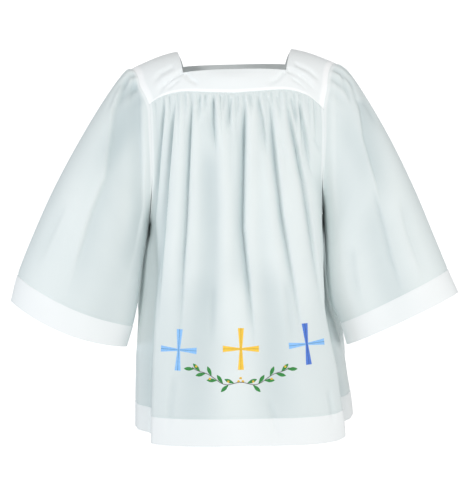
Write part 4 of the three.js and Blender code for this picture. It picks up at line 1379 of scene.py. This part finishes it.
class Surface:
    """A new material with a pattern of threads on its chart.

    Args:
        name: the material's name.
        pattern: node group of the threads.
        settings: values of the group's inputs.
    """

    def __init__(self, name: str, pattern: bpy.types.NodeTree, **settings: float) -> None:
        """Makes the material, its chart and the pattern on it."""
        self.made = bpy.data.materials.new(name)
        self.made.use_nodes = True
        self.tree = self.made.node_tree
        self.shader = self.tree.nodes["Principled BSDF"]
        self.chart = self.tree.nodes.new("ShaderNodeUVMap").outputs["UV"]
        threads = self.tree.nodes.new("ShaderNodeGroup")
        threads.node_tree = pattern
        for socket, value in settings.items():
            threads.inputs[socket].default_value = value
        self.tree.links.new(self.chart, threads.inputs["Chart"])
        self.threads = threads.outputs

    def mark(self, name: str) -> Socket:
        """The value of one of the mesh's marks."""
        node = self.tree.nodes.new("ShaderNodeAttribute")
        node.attribute_name = name
        return node.outputs["Fac"]

    def feed(self, colour: Socket, rough: Socket, strength: float, depth: float) -> None:
        """Links colour, roughness and the height of the threads to the shader.

        Args:
            colour: socket of the colour.
            rough: socket of the roughness.
            strength: strength of the bump.
            depth: depth of the bump in metres.
        """
        bump = self.tree.nodes.new("ShaderNodeBump")
        bump.inputs["Strength"].default_value = strength
        bump.inputs["Distance"].default_value = depth
        self.tree.links.new(self.threads["Height"], bump.inputs["Height"])
        self.tree.links.new(colour, self.shader.inputs["Base Color"])
        self.tree.links.new(rough, self.shader.inputs["Roughness"])
        self.tree.links.new(bump.outputs["Normal"], self.shader.inputs["Normal"])


@dataclass(frozen=True)
class ClothFinish:
    """White broadcloth: a fine plain weave, a little cloudy, whiter where it lies double, with
    painted shade in the valleys of its folds.
    """

    name: str
    low: Colour
    high: Colour
    double: Colour
    threads: float = 2400.0
    roughness: float = 0.86

    def material(self, weave: bpy.types.NodeTree) -> bpy.types.Material:
        """Makes the material.

        Args:
            weave: the plain weave node group.

        Returns:
            The finished material.
        """
        surface = Surface(self.name, weave, Threads=self.threads)
        tree, shade = surface.tree, surface.threads["Shade"]
        # painted shade: the fold mark blends from the low colour in the fold valleys to the high
        # colour on the ridges, with the weave's cloudy tone mixed in
        depth = weigh(tree, (surface.mark("fold"), 0.75), (shade, 0.25))
        colour = blend(tree, depth, self.low, self.high)
        colour = blend(tree, surface.mark("seam"), colour, self.double)
        rough = maths(tree, "ADD", maths(tree, "MULTIPLY", shade, 0.1), self.roughness - 0.05)
        surface.feed(colour, rough, strength=0.35, depth=0.00012)
        surface.shader.inputs["Sheen Weight"].default_value = 0.03
        surface.shader.inputs["Sheen Roughness"].default_value = 0.5
        surface.shader.inputs["Specular IOR Level"].default_value = 0.12
        return surface.made


@dataclass(frozen=True)
class ThreadFinish:
    """Embroidery or sewing thread, laid in satin stitch with a soft sheen."""

    name: str
    dark: Colour
    light: Colour
    slant: float = 0.6
    threads: float = 1500.0
    roughness: float = 0.42
    lined: bool = False
    line_half_width: float = 0.00055

    def material(self, stitch: bpy.types.NodeTree) -> bpy.types.Material:
        """Makes the material.

        Args:
            stitch: the satin stitch node group.

        Returns:
            The finished material.
        """
        surface = Surface(self.name, stitch, Slant=self.slant, Threads=self.threads)
        tree, tone = surface.tree, surface.threads["Tone"]
        colour = blend(tree, tone, self.dark, self.light)
        if self.lined:
            _, across = split(tree, surface.chart)
            middle = maths(tree, "LESS_THAN", maths(tree, "ABSOLUTE", across), self.line_half_width)
            colour = blend(tree, middle, colour, tuple(0.5 * part for part in self.dark))
        rough = maths(tree, "ADD", maths(tree, "MULTIPLY", tone, 0.15), self.roughness)
        surface.feed(colour, rough, strength=0.5, depth=0.00015)
        surface.shader.inputs["Sheen Weight"].default_value = 0.2
        return surface.made


class Finishes:
    """All materials of the garment, by the name of the record's slot."""

    cloths = (
        # low is the painted shade of the fold valleys and high the colour on the ridges; double is
        # the cloth where it lies double
        ClothFinish("cloth", srgb(188, 202, 204), srgb(234, 241, 240), srgb(246, 249, 249)),
        ClothFinish("band_cloth", srgb(228, 235, 235), srgb(245, 248, 248), srgb(251, 253, 253)),
    )
    threads = (
        ThreadFinish("thread_light_blue", srgb(112, 178, 240), srgb(152, 204, 252), lined=True),
        ThreadFinish("thread_gold", srgb(244, 186, 24), srgb(255, 218, 62), lined=True),
        ThreadFinish("thread_blue", srgb(48, 94, 192), srgb(76, 134, 226), lined=True),
        ThreadFinish("thread_green", srgb(0, 92, 30), srgb(14, 150, 44), slant=0.9),
        ThreadFinish("thread_brown", srgb(44, 28, 34), srgb(74, 54, 60), slant=0.0),
        ThreadFinish("sewing_thread", srgb(226, 233, 233), srgb(244, 247, 247), 0.0, 5000.0),
    )

    def __init__(self) -> None:
        """Makes both node groups and every material."""
        weave, stitch = plain_weave(), satin_stitch()
        self.made = {finish.name: finish.material(weave) for finish in self.cloths}
        self.made |= {finish.name: finish.material(stitch) for finish in self.threads}

    def dress(self, piece: bpy.types.Object, slot: str, node: str | None = None) -> None:
        """Gives a piece its material, its body and its slot.

        Args:
            piece: the piece's object.
            slot: the record's material slot.
            node: the CAD node that the piece stands for, if any.
        """
        piece.data.materials.clear()
        piece.data.materials.append(self.made[slot])
        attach(piece, "root")
        if node:
            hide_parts(node)
        LOG.info("%s: %d faces", piece.name, len(piece.data.polygons))


# ---------------------------------------------------------------- seams


@dataclass
class SeamStitches:
    """A row of sewing stitches along a line on the cloth."""

    name: str
    pitch: float = 3.2
    length: float = 2.3
    width: float = 0.45
    height: float = 0.32

    def one_stitch(self) -> tuple[np.ndarray, list[list[int]]]:
        """Models one stitch and gives its points and faces.

        Returns:
            The points in millimetres, and for each face the indices of its points.
        """
        bpy.ops.object.select_all(action="DESELECT")
        bpy.ops.mesh.primitive_uv_sphere_add(segments=6, ring_count=4, radius=1.0)
        stitch = bpy.context.object
        bpy.ops.object.mode_set(mode="EDIT")
        bpy.ops.transform.resize(value=(self.length / 2, self.width / 2, self.height / 2))
        bpy.ops.object.mode_set(mode="OBJECT")
        points = np.array([tuple(v.co) for v in stitch.data.vertices])
        faces = [list(f.vertices) for f in stitch.data.polygons]
        bpy.data.objects.remove(stitch, do_unlink=True)
        return points, faces

    def build(self, lines: list[Arrays]) -> bpy.types.Object:
        """Lays the stitch along lines.

        Args:
            lines: for each line its points in millimetres and the directions out of the cloth.

        Returns:
            One mesh object with all the stitches.
        """
        points, faces = self.one_stitch()
        places, polygons = [], []
        count = 0
        for line, normals in lines:
            steps = np.linalg.norm(np.diff(line, axis=0), axis=1)
            run = np.concatenate([[0.0], np.cumsum(steps)])
            at = np.arange(self.pitch, run[-1] - self.pitch / 2, self.pitch)
            centre, ahead, up = (
                np.stack([np.interp(place, run, values[:, k]) for k in range(3)], axis=1)
                for place, values in ((at, line), (at + 0.5, line), (at, normals))
            )
            along = unit(ahead - centre)
            side = unit(np.cross(unit(up), along))
            up = np.cross(along, side)
            basis = np.stack([along, side, up], axis=1)
            placed = centre[:, None, :] + np.einsum("pk,nkc->npc", points, basis)
            places.append(placed.reshape(-1, 3))
            for _ in range(len(at)):
                polygons.extend([[count + i for i in face] for face in faces])
                count += len(points)
        mesh = bpy.data.meshes.new(self.name)
        mesh.from_pydata((np.concatenate(places) * MM).tolist(), [], polygons)
        mesh.uv_layers.new(name="UVMap")
        set_chart(mesh, np.concatenate(places)[:, [0, 2]] * MM)
        mesh.polygons.foreach_set("use_smooth", np.ones(len(mesh.polygons), bool))
        mesh.update()
        row = bpy.data.objects.new(self.name, mesh)
        bpy.context.collection.objects.link(row)
        return row


# ---------------------------------------------------------------- embroidery


class FrontCloth:
    """Finds places on the front panel from their X and Z.

    Args:
        sheet: the front panel's grid.
        lift: distance of the cloth's face from the grid, in millimetres.
    """

    def __init__(self, sheet: Sheet, lift: float) -> None:
        """Keeps the grid, the directions out of it and the lift."""
        self.sheet, self.lift, self.out = sheet, lift, sheet.normals()

    def place(self, x: float, z: float, height: float) -> np.ndarray:
        """The point above the cloth at X and Z, a height over its face.

        Args:
            x: distance along X, in millimetres.
            z: height, in millimetres.
            height: distance over the cloth's face, in millimetres.

        Returns:
            The point in millimetres.
        """
        points, columns = self.sheet.points, np.arange(len(self.sheet.across))
        at = len(columns) / 2
        row = 0.0
        for _ in range(4):
            low = int(min(max(at, 0), len(columns) - 2))
            row = float(np.interp(-z, -points[:, low, 2], np.arange(len(points))))
            above = int(min(row, len(points) - 2))
            across = mix(points[above, :, 0], points[above + 1, :, 0], row - above)
            at = float(np.interp(x, across, columns))
        i, j = int(min(row, len(points) - 2)), int(min(at, len(columns) - 2))
        a, b = row - i, at - j
        here, out = (
            mix(mix(g[i, j], g[i, j + 1], b), mix(g[i + 1, j], g[i + 1, j + 1], b), a)
            for g in (points, self.out)
        )
        return here + unit(out) * (self.lift + height)


@dataclass
class SatinShape:
    """A raised shape of satin stitch: a strip along a line, with a width at each share."""

    length: float
    widths: tuple[tuple[float, float], ...]
    height: float = 0.55
    ridge: float = 0.25
    steps: tuple[int, int] = (28, 8)
    edge_lift: float = 0.12
    backing: float = 0.1

    def flat(self) -> Arrays:
        """Grid of the strip: places along and across it, and heights over the cloth.

        Returns:
            The places and the heights, in millimetres.
        """
        along = np.linspace(0, 1, self.steps[0] + 1)
        across = np.linspace(-1, 1, self.steps[1] + 1)
        half = np.interp(along, *np.array(self.widths).T) / 2
        s, c = np.meshgrid(along, across, indexing="ij")
        places = np.stack([(s - 0.5) * self.length, c * half[:, None]], axis=-1)
        ends = smooth(np.minimum(s, 1 - s), -0.01, 0.04)
        dome = (1 - np.abs(c) ** 3) * ends
        groove = 0.6 * self.ridge * np.exp(-((c / 0.16) ** 2)) * ends
        return places, self.edge_lift + self.height * dome - groove

    def build(
        self, name: str, cloth: FrontCloth, centre: tuple[float, float] | np.ndarray, turn: float
    ) -> bpy.types.Object:
        """Makes the shape on the cloth.

        Args:
            name: the piece's name.
            cloth: the cloth that it lies on.
            centre: X and Z of its middle, in millimetres.
            turn: degrees that it is turned by, from lying along X towards +Z.

        Returns:
            The finished mesh object.
        """
        places, heights = self.flat()
        shape, i, j = add_grid(name, places.shape[0] - 1, places.shape[1] - 1)
        cos, sin = math.cos(math.radians(turn)), math.sin(math.radians(turn))
        along, across = places[i, j].T
        x = centre[0] + along * cos - across * sin
        z = centre[1] + along * sin + across * cos
        points = [cloth.place(*place) for place in zip(x, z, heights[i, j])]
        shape.data.vertices.foreach_set("co", (np.array(points) * MM).ravel())
        set_chart(shape.data, places[i, j] * MM)
        add_wall(shape, self.backing, offset=-1.0, smooth_to=50)
        return shape


class Thread(Enum):
    """The slots of the embroidery threads."""

    LIGHT_BLUE = "thread_light_blue"
    GOLD = "thread_gold"
    BLUE = "thread_blue"
    GREEN = "thread_green"
    BROWN = "thread_brown"


@dataclass
class Cross:
    """A plain cross with flared arms, in satin stitch."""

    name: str
    centre: tuple[float, float]
    upright: Thread
    arms: Thread
    turn: float = 0.0
    height: float = 86.5
    width: float = 75.0
    flare: float = 12.4
    waist: float = 5.4

    def build(self, cloth: FrontCloth, finishes: Finishes) -> None:
        """Makes the upright over the lower arms and dresses both.

        Args:
            cloth: the cloth that it lies on.
            finishes: the materials.
        """
        parts = (
            ("upright", self.upright, 90, self.height, self.flare, self.waist, 0.55),
            ("arms", self.arms, 0, self.width, self.flare + 1, self.waist - 1.4, 0.4),
        )
        for part, thread, turn, length, flare, waist, height in parts:
            shape = SatinShape(length, ((0.0, flare), (0.5, waist), (1.0, flare)), height)
            piece = shape.build(f"{self.name}_{part}", cloth, self.centre, turn + self.turn)
            finishes.dress(piece, thread.value)


@dataclass
class Garland:
    """A leafy garland below the crosses: one wavy stem with pairs of leaves and berries."""

    centre: tuple[float, float] = (14.0, -712.0)
    half_width: float = 101.0
    rise: float = 38.0
    wave: float = 4.0
    leaf_pairs: int = 8
    first_leaf: float = 0.13
    leaf_tilt: float = 38.0
    leaf_reach: float = 0.55
    berry_reach: float = 6.5
    middle_berries: tuple[tuple[float, float], ...] = ((-4.6, 2.0), (4.6, 2.0), (0.0, 8.5))
    stem_radius: float = 0.62
    stem_lift: float = 0.25
    stem_steps: int = 121
    leaf: SatinShape = field(default_factory=lambda: SatinShape(
        21.0, ((0.0, 0.9), (0.2, 4.4), (0.45, 7.8), (0.7, 7.2), (0.9, 3.4), (1.0, 0.8)),
        height=0.5, ridge=0.2, steps=(12, 4),
    ))
    berry: SatinShape = field(default_factory=lambda: SatinShape(
        5.4, ((0.0, 1.6), (0.15, 4.0), (0.5, 5.4), (0.85, 4.0), (1.0, 1.6)),
        height=0.9, ridge=0.0, steps=(8, 6),
    ))

    def stem(self, share: np.ndarray | float) -> np.ndarray:
        """X and Z of the stem at shares from -1, its right end, to 1.

        Args:
            share: one share or an array of them.

        Returns:
            X and Z in millimetres.
        """
        s = np.asarray(share, float)
        x = self.centre[0] + self.half_width * s
        z = self.centre[1] + self.rise * np.abs(s) ** 2.2 + self.wave * np.cos(s * 9.5)
        return np.stack([x, z], axis=-1)

    def slope(self, share: float) -> float:
        """Direction of the stem at a share, in degrees from +X."""
        before, after = self.stem(share - 0.01), self.stem(share + 0.01)
        return math.degrees(math.atan2(after[1] - before[1], after[0] - before[0]))

    def stems(self, cloth: FrontCloth) -> bpy.types.Object:
        """The stem line, as a thread laid on the cloth.

        Args:
            cloth: the cloth that it lies on.

        Returns:
            The stem's mesh object.
        """
        places = self.stem(np.linspace(-1, 1, self.stem_steps))
        path = [cloth.place(float(x), float(z), self.stem_lift) * MM for x, z in places]
        curve = bpy.data.curves.new("garland_stem", "CURVE")
        curve.dimensions = "3D"
        curve.bevel_depth = self.stem_radius * MM
        curve.bevel_resolution = 2
        curve.use_fill_caps = True
        spline = curve.splines.new("POLY")
        spline.points.add(len(path) - 1)
        for point, place in zip(spline.points, path):
            point.co = (*place, 1.0)
        stem = bpy.data.objects.new("garland_stem", curve)
        bpy.context.collection.objects.link(stem)
        bpy.ops.object.select_all(action="DESELECT")
        stem.select_set(True)
        bpy.context.view_layer.objects.active = stem
        bpy.ops.object.convert(target="MESH")
        bpy.ops.object.shade_smooth()
        return bpy.context.object

    def join(self, name: str, pieces: list[bpy.types.Object]) -> bpy.types.Object:
        """Joins pieces into the first and names it.

        Args:
            name: the name of the joined piece.
            pieces: the pieces to join.

        Returns:
            The joined piece.
        """
        bpy.ops.object.select_all(action="DESELECT")
        for piece in pieces:
            piece.select_set(True)
        bpy.context.view_layer.objects.active = pieces[0]
        bpy.ops.object.join()
        joined = bpy.context.object
        joined.name = joined.data.name = name
        return joined

    def build(self, cloth: FrontCloth, finishes: Finishes) -> None:
        """Makes the stem, the leaves and the berries, and dresses them.

        Args:
            cloth: the cloth that it lies on.
            finishes: the materials.
        """
        stem = self.stems(cloth)
        finishes.dress(stem, Thread.BROWN.value)
        leaves, berry_places = [], []
        for k, hand in product(range(self.leaf_pairs), (-1, 1)):
            share = hand * mix(self.first_leaf, 1.0, k / (self.leaf_pairs - 0.6))
            root, slope = self.stem(share), self.slope(share)
            above = 1 if k % 2 == 0 else -1
            tilt = slope + (0 if hand > 0 else 180) + hand * above * (self.leaf_tilt - k)
            centre = root + self.leaf_reach * self.leaf.length * heading(tilt)
            leaves.append(self.leaf.build(f"leaf_{len(leaves)}", cloth, centre, tilt))
            if k % 3 == 1:
                berry_places.append(root + self.berry_reach * heading(slope + 90 * above + 180))
        berry_places += [self.stem(0.0) + place for place in self.middle_berries]
        berries = [
            self.berry.build(f"berry_{index}", cloth, place, 0)
            for index, place in enumerate(berry_places)
        ]
        finishes.dress(self.join("garland_leaves", leaves), Thread.GREEN.value)
        finishes.dress(self.join("garland_berries", berries), Thread.GOLD.value)


# ---------------------------------------------------------------- the garment


@dataclass
class Surplice:
    """The whole garment, built piece by piece from the yoke down."""

    finishes: Finishes
    cuts: dict[str, tuple[float, float, float]] = field(default_factory=lambda: {
        # width, length and area of the flat cloth, in metres and square metres
        "yoke_front": (0.46, 0.15, 0.040),
        "yoke_back": (0.46, 0.15, 0.048),
        "body_front": (0.62, 0.72, 0.370),
        "body_back": (0.62, 0.72, 0.340),
        "sleeve_right": (0.72, 0.47, 0.250),
        "sleeve_left": (0.72, 0.47, 0.240),
        "hem_band_front": (0.62, 0.062, 0.038),
        "hem_band_back": (0.60, 0.062, 0.035),
        "cuff_band_right": (0.62, 0.058, 0.035),
        "cuff_band_left": (0.62, 0.058, 0.035),
    })

    def cloth(self, sheet: Sheet, node: str, slot: str, thickness: float, held: str) -> None:
        """Args:
            sheet: its grid.
            node: the CAD node that it stands for.
            slot: its material slot.
            thickness: its wall in millimetres.
            held: how it hangs; not used.
        """
        piece = sheet.build(thickness)
        self.finishes.dress(piece, slot, node)

    def build_body(self) -> tuple[list[Arrays], FrontCloth]:
        """The yokes, the gathered panels and the hem bands.

        Returns:
            The lines of stitches on them, and the front cloth for the embroidery.
        """
        lines = []
        front_cloth = None
        for face in Face:
            yoke = Yoke(face)
            name = face.name.lower()
            yoke_sheet = yoke.sheet()
            self.cloth(yoke_sheet, f"yoke_{name}", "band_cloth", yoke.thickness, "stretched")
            lines += [yoke_sheet.row_path(at, yoke.thickness / 2) for at in yoke.stitch_rows]
            panel = Panel(face, yoke)
            panel_sheet, band_sheet = panel.panel_sheet(), panel.band_sheet()
            self.cloth(panel_sheet, f"body_{name}", "cloth", panel.thickness, "gathered")
            self.cloth(band_sheet, f"hem_band_{name}", "band_cloth", panel.band_thickness, "hung")
            lines.append(band_sheet.row_path(panel.stitch_row, panel.band_thickness / 2))
            if face is Face.FRONT:
                front_cloth = FrontCloth(panel_sheet, panel.thickness / 2)
        return lines, front_cloth

    def build_sleeves(self) -> list[Arrays]:
        """Both sleeves with their cuff bands, and the lines of stitches on them.

        Returns:
            The lines of stitches on them.
        """
        lines = []
        for side in Side:
            sleeve = Sleeve(side)
            name = side.name.lower()
            band_sheet = sleeve.band_sheet()
            self.cloth(sleeve.sleeve_sheet(), f"sleeve_{name}", "cloth", sleeve.thickness, "hung")
            self.cloth(band_sheet, f"cuff_band_{name}", "band_cloth", sleeve.band_thickness, "hung")
            lines.append(band_sheet.row_path(sleeve.stitch_row, sleeve.band_thickness / 2))
        return lines

    def build(self) -> None:
        """Makes every piece of the garment."""
        lines, front_cloth = self.build_body()
        lines += self.build_sleeves()
        self.finishes.dress(SeamStitches("seam_stitches").build(lines), "sewing_thread")
        for cross in (
            Cross("cross_right", (-115.4, -642.0), Thread.LIGHT_BLUE, Thread.LIGHT_BLUE, turn=-3.0),
            Cross("cross_middle", (14.4, -639.0), Thread.GOLD, Thread.GOLD),
            Cross("cross_left", (151.8, -629.5), Thread.BLUE, Thread.LIGHT_BLUE, turn=6.0),
        ):
            cross.build(front_cloth, self.finishes)
        Garland().build(front_cloth, self.finishes)


# ---------------------------------------------------------------- the studio


@dataclass(frozen=True)
class Lamp:
    """A square area light: its place, its side in metres, its power in watts and its colour."""

    name: str
    at: tuple[float, float, float]
    side: float
    watts: float
    colour: Colour = (1.0, 1.0, 1.0)

    def build(self, target: Vector) -> None:
        """Makes the light and points it at the target.

        Args:
            target: the point that it lights, in metres.
        """
        bpy.ops.object.light_add(type="AREA", location=self.at)
        light = bpy.context.object
        light.name = self.name
        light.data.shape = "SQUARE"
        light.data.size = self.side
        light.data.energy = self.watts
        light.data.color = self.colour
        light.rotation_euler = (target - Vector(self.at)).to_track_quat("-Z", "Y").to_euler()


@dataclass
class Studio:
    """Pale floor, soft lights and the camera."""

    floor_z: float = -1.6
    floor_size: float = 20.0
    wall_height: float = 9.0
    wall_bend: float = 1.6
    target: tuple[float, float, float] = (0.0, 0.0, -0.42)
    camera_at: tuple[float, float, float] = (0.0084, -3.4, -0.421)
    lens: float = 118.85
    lamps: tuple[Lamp, ...] = (
        Lamp("key_light", (-1.3, -3.4, 0.1), 0.7, 44.0),
        Lamp("fill_light", (2.3, -3.1, 0.2), 1.4, 38.0),
        Lamp("back_light", (0.4, 3.2, 0.8), 1.6, 60.0),
        Lamp("left_light", (-3.2, -1.2, -1.3), 1.2, 26.0, (0.74, 0.86, 1.0)),
        Lamp("right_light", (3.2, -1.2, -1.3), 1.2, 18.0),
    )
    world: float = 0.475

    def backdrop(self) -> None:
        """The floor, which curves up into a wall behind the garment."""
        bpy.ops.object.select_all(action="DESELECT")
        bpy.ops.mesh.primitive_plane_add(size=self.floor_size, location=(0, 0, self.floor_z))
        floor = bpy.context.object
        floor.name = "floor"
        bpy.ops.object.transform_apply(location=True, rotation=True, scale=True)
        back = max(v.co.y for v in floor.data.vertices)
        self.select_edge(floor, back, self.floor_z)
        bpy.ops.mesh.extrude_region_move(TRANSFORM_OT_translate={"value": (0, 0, self.wall_height)})
        bpy.ops.object.mode_set(mode="OBJECT")
        self.select_edge(floor, back, self.floor_z)
        bpy.ops.mesh.bevel(offset=self.wall_bend, segments=16, affect="EDGES")
        bpy.ops.object.mode_set(mode="OBJECT")
        bpy.ops.object.shade_smooth()
        pale = bpy.data.materials.new("pale_floor")
        pale.use_nodes = True
        shader = pale.node_tree.nodes["Principled BSDF"]
        shader.inputs["Base Color"].default_value = (0.93, 0.94, 0.94, 1)
        shader.inputs["Roughness"].default_value = 0.9
        shader.inputs["Emission Color"].default_value = (1, 1, 1, 1)
        shader.inputs["Emission Strength"].default_value = 0.75
        floor.data.materials.append(pale)
        floor.visible_diffuse = False

    @staticmethod
    def select_edge(floor: bpy.types.Object, y: float, z: float) -> None:
        """Goes into edit mode with the edge at y and z selected.

        Args:
            floor: the floor's object.
            y: the edge's Y in metres.
            z: the edge's Z in metres.
        """
        bpy.ops.object.mode_set(mode="EDIT")
        bpy.ops.mesh.select_mode(type="EDGE")
        bpy.ops.mesh.select_all(action="DESELECT")
        bpy.ops.object.mode_set(mode="OBJECT")
        for edge in floor.data.edges:
            ends = [floor.data.vertices[i].co for i in edge.vertices]
            edge.select = all(abs(p.y - y) < 1e-4 and abs(p.z - z) < 1e-4 for p in ends)
        bpy.ops.object.mode_set(mode="EDIT")

    def build(self) -> None:
        """Makes the backdrop, the lights, the world and the camera."""
        self.backdrop()
        for lamp in self.lamps:
            lamp.build(Vector(self.target))
        world = bpy.data.worlds.new("soft_room")
        world.use_nodes = True
        background = world.node_tree.nodes["Background"]
        background.inputs["Color"].default_value = (1.0, 0.99, 0.995, 1)
        background.inputs["Strength"].default_value = self.world
        bpy.context.scene.world = world
        bpy.context.scene.view_settings.view_transform = "Standard"
        bpy.ops.object.camera_add(location=self.camera_at, rotation=(math.pi / 2, 0, 0))
        camera = bpy.context.object
        camera.data.sensor_fit = "HORIZONTAL"
        camera.data.sensor_width = 36.0
        camera.data.lens = self.lens
        bpy.context.scene.camera = camera


def main() -> None:
    """Builds the garment and the studio."""
    logging.basicConfig(level=logging.INFO, format="%(message)s")
    Surplice(Finishes()).build()
    Studio().build()


if __name__ == "__main__":
    main()
